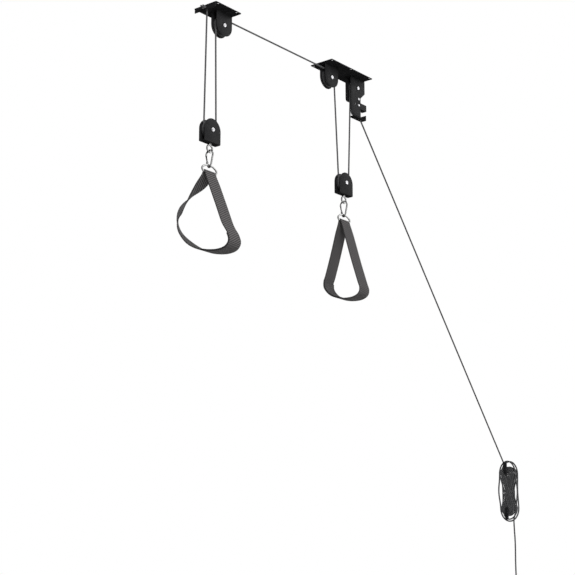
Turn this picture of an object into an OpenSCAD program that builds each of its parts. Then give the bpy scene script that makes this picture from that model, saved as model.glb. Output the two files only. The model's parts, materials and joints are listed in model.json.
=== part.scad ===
// Ceiling hoist: two pulley plates, two hooked blocks with slings, a rope lock and a wall cleat
// Millimetres. +Z is up and +X runs along the ceiling from the knotted end to the rope lock.
// The origin is the centre of the front plate's screw holes, on the face that meets the ceiling.

/* [Rope] */
// Diameter of the braided rope
rope_d = 5; // [4.6:0.1:5.2]
// Outer diameter of the stopper knots
knot_d = 13; // [11:0.5:16]
// Length of the stopper knots
knot_l = 12; // [10:0.5:16]

/* [Ceiling plates] */
// Length of the front plate
front_plate_l = 108; // [100:1:130]
// Length of the rear plate
rear_plate_l = 212; // [208:1:240]
// Width of both plates
plate_w = 85; // [82:1:110]
// Thickness of both plates
plate_t = 2; // [1.5:0.25:3]
// Corner radius of both plates
plate_corner_r = 3; // [1:0.5:5]
// Diameter of the screw holes
screw_d = 6.5; // [4.5:0.25:7]
// Front plate's ends to its screws
front_screw_end = 15; // [11:0.5:19]
// Rear plate's ends to its screws
rear_screw_end = 10; // [8:0.5:16]
// Side edges of both plates to their screws
screw_edge = 6; // [5:0.5:9.5]
// Ceiling face to the lower edge of the rope lip
lip_h = 15; // [13:0.5:20]
// Diameter of the rope hole in the lip
lip_hole_d = 6.6; // [6.2:0.1:8]

/* [Places along the ceiling] */
// Front pulley axle from the front plate's centre
front_axle_x = 16.5; // [8:0.5:20]
// Rear plate's centre from the front plate's centre
rear_plate_x = 582.5; // [580:0.5:590]
// Rear plate's front end to the first rear axle
rear_axle_inset = 40; // [34:0.5:53.5]
// Rear plate's back end to the axle in the rope lock
lock_axle_inset = 37; // [33.5:0.5:48.5]
// Ceiling face to the front and first rear axles
axle_drop = 41; // [36:0.5:50]
// Ceiling face to the axle in the rope lock
lock_axle_drop = 36; // [34:0.5:38]
// Front block's axle from the front plate's centre
front_block_x = -26.5; // [-40:0.5:-20]
// Rear block's axle from the rear plate's centre
rear_block_shift = 3.5; // [-12.5:0.5:12.5]
// Ceiling face to the block axles
block_drop = 368; // [300:1:900]

/* [Pulleys] */
// Radius of the rope's centreline on a pulley
pulley_r = 25; // [24:0.25:25.5]
// Height of the rim beyond the rope's centreline
flange_h = 3.5; // [3:0.25:4.5]
// Width of the rim
rim_w = 11; // [10:0.5:14]
// Diameter of the hub
hub_d = 18; // [16:0.5:22]
// Outer diameter of the bearing bush
bush_d = 12; // [10.5:0.5:14]
// Diameter of the axle rivets
axle_d = 8; // [6:0.5:8.5]
// Gap between the cheeks of a cage
cheek_gap = 18; // [17:0.5:20]
// Thickness of a cheek
cheek_t = 2; // [1.5:0.25:2.5]
// How far a cheek reaches beyond the pulley's rim
cheek_margin = 4; // [3:0.5:6]
// Diameter of the formed rivet heads
rivet_head_d = 13; // [10:0.5:14]
// Height of the formed rivet heads
rivet_head_h = 3; // [2:0.25:4]

/* [Rope lock] */
// How much wider than a pulley cage the tower is on each side
tower_margin = 4; // [0:0.5:6]
// Ceiling face to where the tower starts to narrow
lock_shoulder_drop = 46; // [40:1:50]
// Ceiling face to where the tower is narrow
lock_waist_drop = 68; // [60:1:72]
// Lock axle to the narrow part's edge at the waist
lock_waist_x = 12.5; // [11:0.5:14]
// Lock axle to the narrow part's edge at the floor
lock_foot_x = 11; // [8:0.5:14]
// Ceiling face to the underside of the floor
lock_floor_drop = 134; // [125:1:150]
// Ceiling face to the lower edge of the far cheek
lock_far_drop = 84; // [80:1:92]
// Lock axle to the floor's turned-up end
lock_floor_reach = 42.5; // [38:0.5:50]
// Height of the floor's turned-up end
lock_floor_lip_h = 17; // [8:0.5:24]
// Diameter of the rope hole in the floor
rope_hole_d = 9; // [8.6:0.1:12]
// Lock axle to the cam's pin, along the ceiling
cam_pin_x = 2.5; // [0:0.5:4]
// Ceiling face to the cam's pin
cam_pin_drop = 72.5; // [71.5:0.5:76]
// Diameter of the cam's pin
cam_pin_d = 6; // [4:0.5:7]
// Width of the cam
cam_w = 9; // [7:0.5:9.5]
// Diameter of the cam's boss
cam_boss_d = 14; // [11:0.5:15]
// Gap between the cam's teeth and the rope
cam_bite_gap = 0.3; // [0.2:0.1:1]
// Height of the cam's teeth
tooth_h = 1; // [0.5:0.1:1.5]
// Number of teeth on the cam
teeth = 9; // [6:1:12]
// Height of the anvil
anvil_h = 20.5; // [16:0.5:24]
// Ceiling face to the anvil's top
anvil_drop = 81; // [80:0.5:90]
// Thickness of the anvil's mounting plate
anvil_plate_t = 2.5; // [1.5:0.25:2.75]
// Length of the anvil's jaw beyond the rope
jaw_l = 21.5; // [10:0.5:24]
// Diameter of the two small rivet heads
pin_head_d = 9; // [8:0.5:12]
// Diameter of the cam spring's wire
spring_wire_d = 0.8; // [0.6:0.05:0.9]
// Number of curls of the cam spring
spring_curls = 3; // [2:1:3]

/* [Hooks] */
// Diameter of the eye, link and ring wire
wire_d = 5; // [4:0.25:5.5]
// Gap between wires that hang on each other
hang_gap = 0.3; // [0.2:0.1:0.6]
// Diameter of the swivel eye's stem
stem_d = 7; // [6:0.5:9]
// Diameter of the stem's head
stem_head_d = 12; // [11:0.5:14]
// Height of the stem's head
stem_head_h = 4; // [3:0.5:6]
// Thickness of the thrust washer
washer_t = 1.5; // [1:0.25:2.5]
// Diameter of the thrust washer
washer_d = 14; // [12.5:0.5:17]
// Rim of the pulley to the top of the stem's head
head_gap = 2; // [1:0.25:6]
// Cage's underside to the middle of the eye
eye_drop = 15; // [14:0.5:20]
// Centreline radius of the eye
eye_r = 10.5; // [9:0.5:14]
// Wire centre to wire centre over the link's length
link_l = 48.8; // [46:0.2:70]
// Centreline radius of the link's top
link_top_r = 12.5; // [11:0.5:14]
// Centreline radius of the link's bottom
link_bottom_r = 5.5; // [5.4:0.1:7]
// Link's lower tangent point to the gate's pin, along its side
gate_pin_up = 8; // [7:0.25:10]
// Diameter of the gate
gate_d = 4.4; // [3.6:0.2:5]
// Diameter of the gate's pin
gate_pin_d = 1.6; // [1.2:0.1:2]
// Thickness of the tongue in the gate's fork
tongue_t = 2; // [1.4:0.1:2.4]
// Centreline radius of the ring's round top
ring_top_r = 44.5; // [42:0.5:55]
// Centreline radius of the ring's corners
ring_corner_r = 7; // [5:0.5:8]
// Top wire centre to bar centre of the ring
ring_h = 21.3; // [20:0.1:24]

/* [Slings] */
// Width of the webbing
web_w = 50; // [40:1:52]
// Width of the webbing where it is drawn in at the ring
web_ring_w = 44; // [34:1:44]
// Thickness of the webbing
web_t = 2.5; // [1.5:0.25:3]
// Height of the front sling
front_sling_h = 234; // [200:1:300]
// Height of the rear sling
rear_sling_h = 250; // [200:1:320]

/* [Wall cleat] */
// Wall's face from the front plate's centre
wall_x = 1531; // [1400:1:2400]
// Ceiling face to the middle of the cleat
cleat_drop = 1245; // [1000:1:1600]
// Thickness of the cleat's metal
cleat_t = 2.5; // [2:0.25:2.75]
// Width of the cleat's base
cleat_base_w = 24; // [16:1:30]
// Width of the necks
neck_w = 7; // [5:0.5:7.25]
// Width of the horns
horn_w = 13; // [8:0.5:14]
// Middle of the cleat to the middle of each neck
neck_z = 58; // [52:1:66]
// Middle of the cleat to the tip of each horn
horn_z = 99; // [90:1:104]
// Screw spacing of the cleat
cleat_screw_l = 44; // [36:1:60]
// Diameter of the cleat's screw holes
cleat_screw_d = 5; // [4:0.25:6]

/* [Wound rope] */
// Gap between neighbouring turns
turn_gap = 1.05; // [1.05:0.05:1.1]
// Turns side by side in a layer of the figure of eight
turns = 4; // [3:1:4]
// Layers of the figure of eight
layers = 3; // [2:1:3]
// Radius of the innermost arch round a neck
inner_arch_r = 6.5; // [6.5:0.1:7]
// Half width of the two plain turns round both horns
plain_turn_r = 31; // [31:0.5:34]
// Reach of the plain turns beyond the necks
plain_turn_reach = 44; // [36:1:46]
// Gap between the lowest turns and the cleat's base
base_gap = 0.5; // [0.3:0.1:1.5]

/* [Hidden] */
$fn = 64;

steel_black = [0.10, 0.10, 0.11];
pulley_black = [0.16, 0.16, 0.17];
rivet_bright = [0.80, 0.80, 0.82];
chrome = [0.86, 0.87, 0.88];
zinc = [0.74, 0.75, 0.77];
rope_black = [0.13, 0.13, 0.14];
webbing_grey = [0.27, 0.27, 0.28];

// One overrun for every cut, and the clearances of running and resting fits
over = 1;
fit = 0.05;
press = 0.02;
seat = 0.1;

rope_r = rope_d/2;
wire_r = wire_d/2;

// Pulleys and cages
rim_r = pulley_r + flange_h;
cage_r = rim_r + cheek_margin;
cheek_out = cheek_gap/2 + cheek_t;
hub_side_gap = 0.3;
hub_w = cheek_gap - 2*hub_side_gap;
groove_gap = 0.3;
groove_r = rope_r + groove_gap;
rim_land_share = 0.11;
face_web_share = 0.27;
crown_share = 2/3;
recess_in_r = hub_d/2 + flange_h/2;
recess_out_r = pulley_r - rope_d - groove_gap;

// Places of the five axles, as [x, z]
lock_axle_x = rear_plate_x + rear_plate_l/2 - lock_axle_inset;
front_axle_at = [front_axle_x, -axle_drop];
rear_axle_at = [rear_plate_x - rear_plate_l/2 + rear_axle_inset, -axle_drop];
lock_axle_at = [lock_axle_x, -lock_axle_drop];
front_block_at = [front_block_x, -block_drop];
rear_block_at = [rear_plate_x + rear_block_shift, -block_drop];

// Rope through the lip of the front plate
lip_x = -front_plate_l/2;
lip_bend_r = 8;
dead_bend_x = lip_x + plate_t/4;
dead_rope_share = 1.3;
dead_rope_drop = plate_t + rope_d*dead_rope_share;
knot_gap = 0.3;
knot_face_x = lip_x - knot_gap;
dead_bend_at = [dead_bend_x, -dead_rope_drop - lip_bend_r];

// Block and hook heights, measured down from the block's axle
web_z = -(rim_r + head_gap + stem_head_h + washer_t + cheek_t);
web_hole_d = stem_d + 2*fit;
eye_z = web_z - eye_drop;
collar_h = wire_r;
link_top_z = eye_z - eye_r + wire_d + hang_gap;
link_top_mid_z = link_top_z - link_top_r;
link_bottom_z = link_top_z - link_l;
link_bottom_mid_z = link_bottom_z + link_bottom_r;
ring_top_z = link_bottom_z + wire_d + hang_gap;
ring_top_mid_z = ring_top_z - ring_top_r;
bar_z = ring_top_z - ring_h;
ring_corner_z = bar_z + ring_corner_r;
ring_corner_x = sqrt(pow(ring_top_r - ring_corner_r, 2) - pow(ring_corner_z - ring_top_mid_z, 2));
ring_corner_a = atan2(ring_corner_z - ring_top_mid_z, ring_corner_x);

// Slanting side of the snap link
link_mid_gap = link_top_mid_z - link_bottom_mid_z;
side_a = asin((link_top_r - link_bottom_r)/link_mid_gap);
side_l = link_mid_gap*cos(side_a);
tongue_r = gate_d/2;
bend_rings = 10;
wire_sides = 16;
fork_gap = 0.3;

// Webbing round the bar of the ring
wrap_r = wire_r + hang_gap + web_t/2;

// Rope lock
lock_rope_x = lock_axle_x + pulley_r;
tower_r = cage_r + tower_margin;
cam_reach = pulley_r - rope_r - cam_pin_x - cam_bite_gap;
cam_pin_at = [lock_axle_x + cam_pin_x, -cam_pin_drop];
cam_offset = 1;
cam_near_y = -cam_w/2 - cam_offset;
cam_far_y = cam_near_y + cam_w;
cam_start_a = -5;
cam_end_a = -62;
cam_start_share = 0.845;
cam_rise_share = 0.0102;
tooth_back_share = 0.8;
floor_z = -lock_floor_drop;
floor_top_z = floor_z + cheek_t;
jaw_x = lock_rope_x + rope_d/5;
anvil_y = -cheek_gap/2 + seat;
anvil_rivet_x = cam_pin_at[0];
anvil_rivet_share = 0.62;
anvil_rivet_z = -anvil_drop - anvil_h*anvil_rivet_share;
anvil_edge_share = 0.67;
anvil_left_x = anvil_rivet_x - pin_head_d*anvil_edge_share;
lock_run_end_z = floor_top_z + rope_d;

held_sides = 12;

// The ceiling rope's tangents
function tangent_a(c1, c2, r1, r2, side) =
    let (d = c2 - c1)
    atan2(d[1], d[0]) + side*acos((r1 + r2)/norm(d));
function on_circle(c, r, a) = c + r*[cos(a), sin(a)];
dead_a = tangent_a(dead_bend_at, front_block_at, lip_bend_r, pulley_r, 1);
front_a = tangent_a(front_axle_at, front_block_at, pulley_r, pulley_r, -1);
rear_in_a = tangent_a(rear_axle_at, rear_block_at, pulley_r, pulley_r, 1);
rear_out_a = tangent_a(lock_axle_at, rear_block_at, pulley_r, pulley_r, -1);

// Wall cleat and its winding. A point of the winding is [off the wall, away, up the wall].
pitch = rope_d + turn_gap;
low_level = cleat_t + base_gap + rope_r;
top_level = low_level + pitch*(2*layers - 1);
horn_gap = 0.3;
horn_x = top_level + rope_r + horn_gap;
cross_a = asin((2*inner_arch_r + (turns - 1)*pitch)/(2*neck_z));
arch_rings = 10;
run_rings = 2;
plain_rings = 9;
plain_run_rings = 3;
plain_bow_in = -2;
plain_bow_out = 5.5;
tube_sides = 6;
last_turn = turns*layers - 1;
plain_layers = [1, 3.5];
plain_levels = [for (k = plain_layers) low_level + k*pitch];
way_in_rings = 8;
way_out_rings = 6;
way_in_bow_share = 0.78;

// Where the hand line comes in and the tail goes out, in the same axes
line_in = [36, 10, 101];
tail_out = [26.7, -19, -106];

// Hand line from the lock's floor to the cleat, and the tail below the cleat
hand_line_points = [
    [676.5, 0, -127], [676.8, 0, -130], [677.6, 0, -133], [679.3, 0, -136],
    [760.9, 1, -236.8], [842.5, 2, -337.6], [924.1, 3, -438.4], [1005.6, 4, -539.2],
    [1087.2, 5, -640], [1168.8, 6, -740.8], [1250.4, 7, -841.6], [1331.9, 8, -942.4],
    [1413.4, 9, -1043.2], [1491.9, 9.9, -1140.1], [1495, 10, -1144]];
rope_tail_points = [
    [1504.3, -19, -1351], [1504.3, -19, -1357], [1504.4, -19.5, -1380], [1504.4, -20.5, -1405],
    [1504, -21, -1430], [1504, -20.5, -1455], [1504.5, -19.5, -1480], [1505, -19, -1505],
    [1505, -19, -1530], [1505, -19, -1549], [1505, -19, -1555]];

// Route of each sling's webbing round its loop from the bar, as shares of the sling's height:
// [away, up, twist in degrees]
front_sling_shares = [
    [-0.038, -0.064, 0], [-0.111, -0.239, 0], [-0.209, -0.470, 0], [-0.299, -0.684, 0],
    [-0.385, -0.821, 0], [-0.410, -0.923, 0], [-0.340, -0.991, 0], [-0.180, -1.000, 0],
    [0.040, -0.950, 0], [0.235, -0.850, 0], [0.385, -0.720, 12], [0.470, -0.600, 30],
    [0.497, -0.482, 50], [0.452, -0.375, 60], [0.330, -0.272, 42], [0.162, -0.154, 12],
    [0.043, -0.047, 0]];
rear_sling_shares = [
    [-0.036, -0.060, 0], [-0.100, -0.272, 0], [-0.180, -0.540, 0], [-0.264, -0.800, 0],
    [-0.296, -0.904, 0], [-0.264, -0.972, 0], [-0.160, -1.000, 0], [0.000, -0.984, 0],
    [0.144, -0.928, 0], [0.236, -0.832, 0], [0.248, -0.744, 0], [0.216, -0.660, 0],
    [0.136, -0.420, 0], [0.056, -0.152, 0], [0.028, -0.048, 0]];
// Steps of the loop that the sewn overlap covers
front_overlap = [9, 13];
rear_overlap = [12, 15];
bar_wrap_steps = 4;
loop_steps = 3;
web_spread_share = 0.2;
sewn_share = 0.96;

// Vectors and swept tubes

function unit(v) = v/norm(v);
function ease(s) = let (t = min(1, max(0, s))) t*t*(3 - 2*t);
function curve_point(p0, p1, p2, p3, s) =
    (2*p1 + (p2 - p0)*s + (2*p0 - 5*p1 + 4*p2 - p3)*s*s + (3*p1 - p0 - 3*p2 + p3)*s*s*s)/2;
function end_heading(a, b, c) = let (h = norm(b - a), k = norm(c - b))
    unit((h + k)/(h*k)*b - (2*h + k)/(h*(h + k))*a - h/(k*(h + k))*c);
function heading(p, i) = let (n = len(p) - 1)
    i == 0 ? end_heading(p[0], p[1], p[2]) :
    i == n ? -end_heading(p[n], p[n - 1], p[n - 2]) : unit(p[i + 1] - p[i - 1]);
function arc_along(c, r, from_a, to_a, n) = [for (i = [0:n]) let (a = from_a + (to_a - from_a)*i/n)
    [c[0] + r*cos(a), 0, c[1] + r*sin(a)]];
function arc_across(c, r, from_a, to_a, n) = [for (i = [0:n]) let (a = from_a + (to_a - from_a)*i/n)
    [0, c[0] + r*cos(a), c[1] + r*sin(a)]];

// Tube of flat sides swept along points; side is a direction that the points never run along
module swept_tube(p, r, sides, side) {
    n = len(p);
    rings = [for (i = [0:n - 1])
        let (t = heading(p, i), u = unit(cross(t, side)), v = cross(t, u))
        for (k = [0:sides - 1]) p[i] + r*(cos(360*k/sides)*u + sin(360*k/sides)*v)];
    walls = [for (i = [0:n - 2]) for (k = [0:sides - 1])
        let (a = i*sides + k, b = i*sides + (k + 1)%sides)
        each [[a, a + sides, b], [b, a + sides, b + sides]]];
    start_cap = [for (k = [1:sides - 2]) [0, k, k + 1]];
    end_cap = [for (k = [1:sides - 2]) [0, k + 1, k] + (n - 1)*sides*[1, 1, 1]];
    polyhedron(points = rings, faces = concat(walls, start_cap, end_cap), convexity = 20);
}

// The same for a closed ring of wire
module swept_ring(p, r, sides, side) {
    n = len(p);
    rings = [for (i = [0:n - 1])
        let (t = unit(p[(i + 1)%n] - p[(i + n - 1)%n]), u = unit(cross(t, side)), v = cross(t, u))
        for (k = [0:sides - 1]) p[i] + r*(cos(360*k/sides)*u + sin(360*k/sides)*v)];
    walls = [for (i = [0:n - 1]) for (k = [0:sides - 1])
        let (a = i*sides + k, b = i*sides + (k + 1)%sides, c = (a + sides)%(n*sides), d = (b + sides)%(n*sides))
        each [[a, c, b], [b, c, d]]];
    polyhedron(points = rings, faces = walls, convexity = 20);
}

// Straight round bar between two points
module bar_between(a, b, d) {
    run = b - a;
    translate(a)
        rotate([0, acos(run[2]/norm(run)), atan2(run[1], run[0])])
        cylinder(d = d, h = norm(run));
}

// Round wire bent in an arc, standing across the ceiling run or along it
module bent_wire(r, d, from_a, to_a) {
    rotate([0, 0, from_a])
        rotate_extrude(angle = to_a - from_a)
        translate([r, 0])
        circle(d = d);
}
module along_run() { rotate([90, 0, 0]) children(); }
module across_run() { rotate([90, 0, 90]) children(); }

module rope_bend(c, r, from_a, to_a) {
    translate([c[0], 0, c[1]])
        along_run()
        bent_wire(r, rope_d, from_a, to_a);
}
module rope_run(a, b) { bar_between([a[0], 0, a[1]], [b[0], 0, b[1]], rope_d); }

// Plates

module screwed_plate(l, screw_end, middle_screws) {
    difference() {
        translate([0, 0, -plate_t])
            linear_extrude(plate_t)
            union() {
                square([l - 2*plate_corner_r, plate_w], center = true);
                square([l, plate_w - 2*plate_corner_r], center = true);
                for (x = [-1, 1], y = [-1, 1])
                    translate([x*(l/2 - plate_corner_r), y*(plate_w/2 - plate_corner_r)])
                        circle(r = plate_corner_r);
            }
        for (x = middle_screws ? [-1, 0, 1] : [-1, 1], y = [-1, 1])
            translate([x*(l/2 - screw_end), y*(plate_w/2 - screw_edge), -plate_t - over])
                cylinder(d = screw_d, h = plate_t + 2*over);
    }
}

module front_plate() {
    color(steel_black) {
        screwed_plate(front_plate_l, front_screw_end, false);
        difference() {
            translate([lip_x, -plate_w/2 + plate_corner_r, -lip_h])
                cube([plate_t, plate_w - 2*plate_corner_r, lip_h - plate_t/2]);
            translate([lip_x - over, 0, -dead_rope_drop])
                rotate([0, 90, 0])
                cylinder(d = lip_hole_d, h = plate_t + 2*over);
        }
    }
}

module rear_plate() {
    color(steel_black)
        translate([rear_plate_x, 0, 0])
        screwed_plate(rear_plate_l, rear_screw_end, true);
}

// Cages: two cheeks on a flat web. A ceiling cage's web is on top, a block's is at the bottom.

module cheek_pair() {
    for (y = [-cheek_gap/2, cheek_out])
        translate([0, y, 0])
            rotate([90, 0, 0])
            linear_extrude(cheek_t)
            children();
}
module axle_hole(d) {
    rotate([90, 0, 0])
        cylinder(d = d, h = 2*cheek_out + 2*over, center = true);
}
module ceiling_cage(at) {
    color(steel_black)
        translate([at[0], 0, at[1]])
        difference() {
            union() {
                cheek_pair() {
                    circle(r = cage_r);
                    translate([-cage_r, 0]) square([2*cage_r, -at[1] - plate_t]);
                }
                translate([-cage_r, -cheek_out, -at[1] - plate_t - cheek_t])
                    cube([2*cage_r, 2*cheek_out, cheek_t]);
            }
            axle_hole(axle_d + 2*fit);
        }
}
module front_cage() { ceiling_cage(front_axle_at); }
module rear_cage() { ceiling_cage(rear_axle_at); }

module block_cage(at) {
    color(steel_black)
        translate([at[0], 0, at[1]])
        difference() {
            union() {
                cheek_pair() {
                    circle(r = cage_r);
                    translate([-cage_r, web_z]) square([2*cage_r, -web_z]);
                }
                translate([-cage_r, -cheek_out, web_z])
                    cube([2*cage_r, 2*cheek_out, cheek_t]);
            }
            axle_hole(axle_d + 2*fit);
            translate([0, 0, web_z - over])
                cylinder(d = web_hole_d, h = cheek_t + 2*over);
        }
}

// Pulley wheels, bushes and axles

module rivet(at, d, head_d, near_y, far_y, heads) {
    translate([at[0], 0, at[1]])
        rotate([90, 0, 0]) {
            translate([0, 0, -far_y - seat]) cylinder(d = d, h = far_y - near_y + 2*seat);
            for (side = heads)
                translate([0, 0, side > 0 ? -far_y - rivet_head_h : -near_y])
                    rivet_head(head_d, side);
        }
}
module rivet_head(head_d, side) {
    crown = rivet_head_h*crown_share;
    mirror([0, 0, side > 0 ? 1 : 0])
        translate([0, 0, side > 0 ? -rivet_head_h : 0]) {
            cylinder(d = head_d, h = rivet_head_h - crown + seat);
            translate([0, 0, rivet_head_h - crown + seat])
                cylinder(d1 = head_d, d2 = head_d*crown_share, h = crown - seat);
        }
}
module cage_axle(at) {
    color(rivet_bright)
        rivet(at, axle_d, rivet_head_d, -cheek_out, cheek_out, [-1, 1]);
}

module grooved_wheel(at) {
    color(pulley_black)
        translate([at[0], 0, at[1]])
        rotate([90, 0, 0])
        difference() {
            union() {
                cylinder(r = rim_r, h = rim_w, center = true);
                cylinder(d = hub_d, h = hub_w, center = true);
            }
            cylinder(d = bush_d + 2*press, h = hub_w + 2*over, center = true);
            rotate_extrude() translate([pulley_r, 0]) circle(r = groove_r);
            rotate_extrude() polygon(groove_flare());
            for (side = [-1, 1]) rotate_extrude() polygon(face_recess(side));
        }
}
function groove_flare() =
    let (half = rim_w/2 - rim_w*rim_land_share, reach = rim_r + over)
    [[pulley_r, -groove_r], [pulley_r, groove_r], [rim_r, half], [reach, half],
     [reach, -half], [rim_r, -half]];
function face_recess(side) =
    let (bed = side*rim_w/2*(1 - face_web_share), top = side*(rim_w/2 + over))
    [[recess_in_r, bed], [recess_out_r, bed], [recess_out_r, top], [recess_in_r, top]];

module wheel_bush(at) {
    color(zinc)
        translate([at[0], 0, at[1]])
        rotate([90, 0, 0])
        difference() {
            cylinder(d = bush_d, h = hub_w, center = true);
            cylinder(d = axle_d + 2*fit, h = hub_w + 2*over, center = true);
        }
}

module front_axle() { cage_axle(front_axle_at); }
module rear_axle() { cage_axle(rear_axle_at); }
module lock_axle() { cage_axle(lock_axle_at); }
module front_sheave() { grooved_wheel(front_axle_at); }
module rear_sheave() { grooved_wheel(rear_axle_at); }
module lock_sheave() { grooved_wheel(lock_axle_at); }
module front_sheave_bush() { wheel_bush(front_axle_at); }
module rear_sheave_bush() { wheel_bush(rear_axle_at); }
module lock_sheave_bush() { wheel_bush(lock_axle_at); }

// Rope lock

slot_w = 4;
slot_l = 11;
slot_back = 13.5;
slot_drop = 91.5;
slot_x = lock_axle_x - slot_back;
slot_z = -slot_drop;
rope_hole_shift = 0.5;
floor_corner_x = 3.5;
floor_corner_z = 6;
rope_pass_gap = 1;
floor_start = pulley_r - rope_r - rope_pass_gap;

module tower_cheek(y, points) {
    translate([0, y, 0])
        rotate([90, 0, 0])
        linear_extrude(cheek_t)
        translate([lock_axle_x, 0])
        polygon(points);
}
function tower_top() = [
    [-tower_r, -plate_t], [tower_r, -plate_t], [tower_r, -lock_shoulder_drop],
    [lock_waist_x, -lock_waist_drop]];
function near_outline() = concat(tower_top(), [
    [lock_foot_x, floor_z], [floor_corner_x - tower_r, floor_z],
    [-tower_r, floor_z + floor_corner_z]]);
function far_outline() = concat(tower_top(), [
    [lock_waist_x, -lock_far_drop], [floor_corner_x - tower_r, -lock_far_drop],
    [-tower_r, -lock_far_drop + floor_corner_z]]);

module lock_cage() {
    color(steel_black)
        difference() {
            union() {
                tower_cheek(-cheek_gap/2, near_outline());
                tower_cheek(cheek_out, far_outline());
                translate([lock_axle_x - tower_r, -cheek_out, -plate_t - cheek_t])
                    cube([2*tower_r, 2*cheek_out, cheek_t]);
                translate([lock_axle_x - floor_start, -cheek_out, floor_z])
                    cube([floor_start + lock_floor_reach, cheek_out + cheek_gap/2, cheek_t]);
                translate([lock_axle_x + lock_floor_reach - cheek_t, -cheek_out, floor_z])
                    cube([cheek_t, cheek_out + cheek_gap/2, lock_floor_lip_h]);
            }
            translate([lock_axle_at[0], 0, lock_axle_at[1]])
                axle_hole(axle_d + 2*fit);
            translate([cam_pin_at[0], 0, cam_pin_at[1]])
                axle_hole(cam_pin_d + 2*fit);
            translate([anvil_rivet_x, -cheek_gap/2 + over, anvil_rivet_z])
                rotate([90, 0, 0])
                cylinder(d = cam_pin_d + 2*fit, h = cheek_t + 2*over);
            translate([lock_rope_x + rope_hole_shift, 0, floor_z - over])
                cylinder(d = rope_hole_d, h = cheek_t + 2*over);
            for (z = [-1, 1])
                translate([slot_x, -cheek_gap/2 + over, slot_z + z*(slot_l - slot_w)/2])
                    rotate([90, 0, 0])
                    cylinder(d = slot_w, h = cheek_t + 2*over);
            translate([slot_x - slot_w/2, -cheek_out - over, slot_z - (slot_l - slot_w)/2])
                cube([slot_w, cheek_t + 2*over, slot_l - slot_w]);
        }
}

module lock_cam_pin() {
    color(rivet_bright)
        rivet(cam_pin_at, cam_pin_d, pin_head_d, -cheek_out, cheek_out, [-1, 1]);
}

function cam_radius(a) = cam_reach*(cam_start_share + cam_rise_share*abs(a));
module lock_cam() {
    tooth_a = (cam_end_a - cam_start_a)/teeth;
    color(steel_black)
        translate([cam_pin_at[0], cam_far_y, cam_pin_at[1]])
        rotate([90, 0, 0])
        difference() {
            union() {
                cylinder(d = cam_boss_d, h = cam_w);
                linear_extrude(cam_w)
                    polygon(concat([[0, 0]], [for (i = [0:teeth - 1])
                        let (a = cam_start_a + i*tooth_a, b = a + tooth_a*tooth_back_share)
                        each [(cam_radius(a) - tooth_h)*[cos(a), sin(a)], cam_radius(b)*[cos(b), sin(b)]]]));
            }
            translate([0, 0, -over])
                cylinder(d = cam_pin_d + 2*fit, h = cam_w + 2*over);
        }
}

// Torsion spring round the cam's pin, with one leg up the far cheek and one down the cam
spring_gap = 0.45;
spring_pitch = spring_wire_d + spring_gap;
spring_r = cam_pin_d/2 + fit + spring_wire_d;
spring_leg_l = 8*spring_wire_d;
spring_start_y = cam_far_y + spring_wire_d/2 + seat;
spring_rings = 8*spring_curls;
spring_points = concat(
    [[spring_r, spring_start_y, -spring_leg_l], [spring_r, spring_start_y, -spring_wire_d]],
    [for (i = [0:spring_rings])
        let (a = 360*spring_curls*i/spring_rings)
        [spring_r*cos(a), spring_start_y + spring_pitch*spring_curls*i/spring_rings, spring_r*sin(a)]],
    [[spring_r, spring_start_y + spring_pitch*spring_curls, spring_wire_d],
     [spring_r, spring_start_y + spring_pitch*spring_curls, spring_leg_l]]);
module lock_spring() {
    color(rivet_bright)
        translate([cam_pin_at[0], 0, cam_pin_at[1]])
        swept_tube(spring_points, spring_wire_d/2, tube_sides, [0, 1, 0]);
}

module lock_anvil() {
    right_x = jaw_x + jaw_l;
    color(steel_black)
        difference() {
            union() {
                translate([anvil_left_x, anvil_y, -anvil_drop - anvil_h])
                    cube([right_x - anvil_left_x, anvil_plate_t, anvil_h]);
                translate([jaw_x, anvil_y, -anvil_drop - anvil_h])
                    cube([jaw_l, cheek_gap - cheek_t/2, anvil_h]);
            }
            translate([lock_rope_x, 0, -anvil_drop - anvil_h - over])
                cylinder(r = groove_r, h = anvil_h + 2*over);
            translate([anvil_rivet_x, anvil_y - over, anvil_rivet_z])
                rotate([-90, 0, 0])
                cylinder(d = cam_pin_d + 2*fit, h = anvil_plate_t + 2*over);
        }
}
module lock_anvil_rivet() {
    color(rivet_bright)
        rivet([anvil_rivet_x, anvil_rivet_z], cam_pin_d, pin_head_d, -cheek_out,
            anvil_y + anvil_plate_t, [-1]);
}

// Swivel eye, snap link, gate and ring under a block

module under_block(at) { translate([at[0], 0, at[1]]) children(); }

module swivel_eye(at) {
    head_z = web_z + cheek_t + washer_t + seat;
    color(chrome)
        under_block(at) {
            translate([0, 0, head_z]) cylinder(d = stem_head_d, h = stem_head_h - seat);
            translate([0, 0, web_z - seat - collar_h]) cylinder(d = stem_d, h = head_z - web_z + collar_h + seat*2);
            translate([0, 0, eye_z + eye_r]) cylinder(d = stem_d + wire_r, h = web_z - seat - eye_z - eye_r);
            translate([0, 0, eye_z]) along_run() bent_wire(eye_r, wire_d, 0, 360);
        }
}
module swivel_washer(at) {
    color(zinc)
        under_block(at)
        translate([0, 0, web_z + cheek_t])
        difference() {
            cylinder(d = washer_d, h = washer_t);
            translate([0, 0, -over]) cylinder(d = web_hole_d, h = washer_t + 2*over);
        }
}

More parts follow.
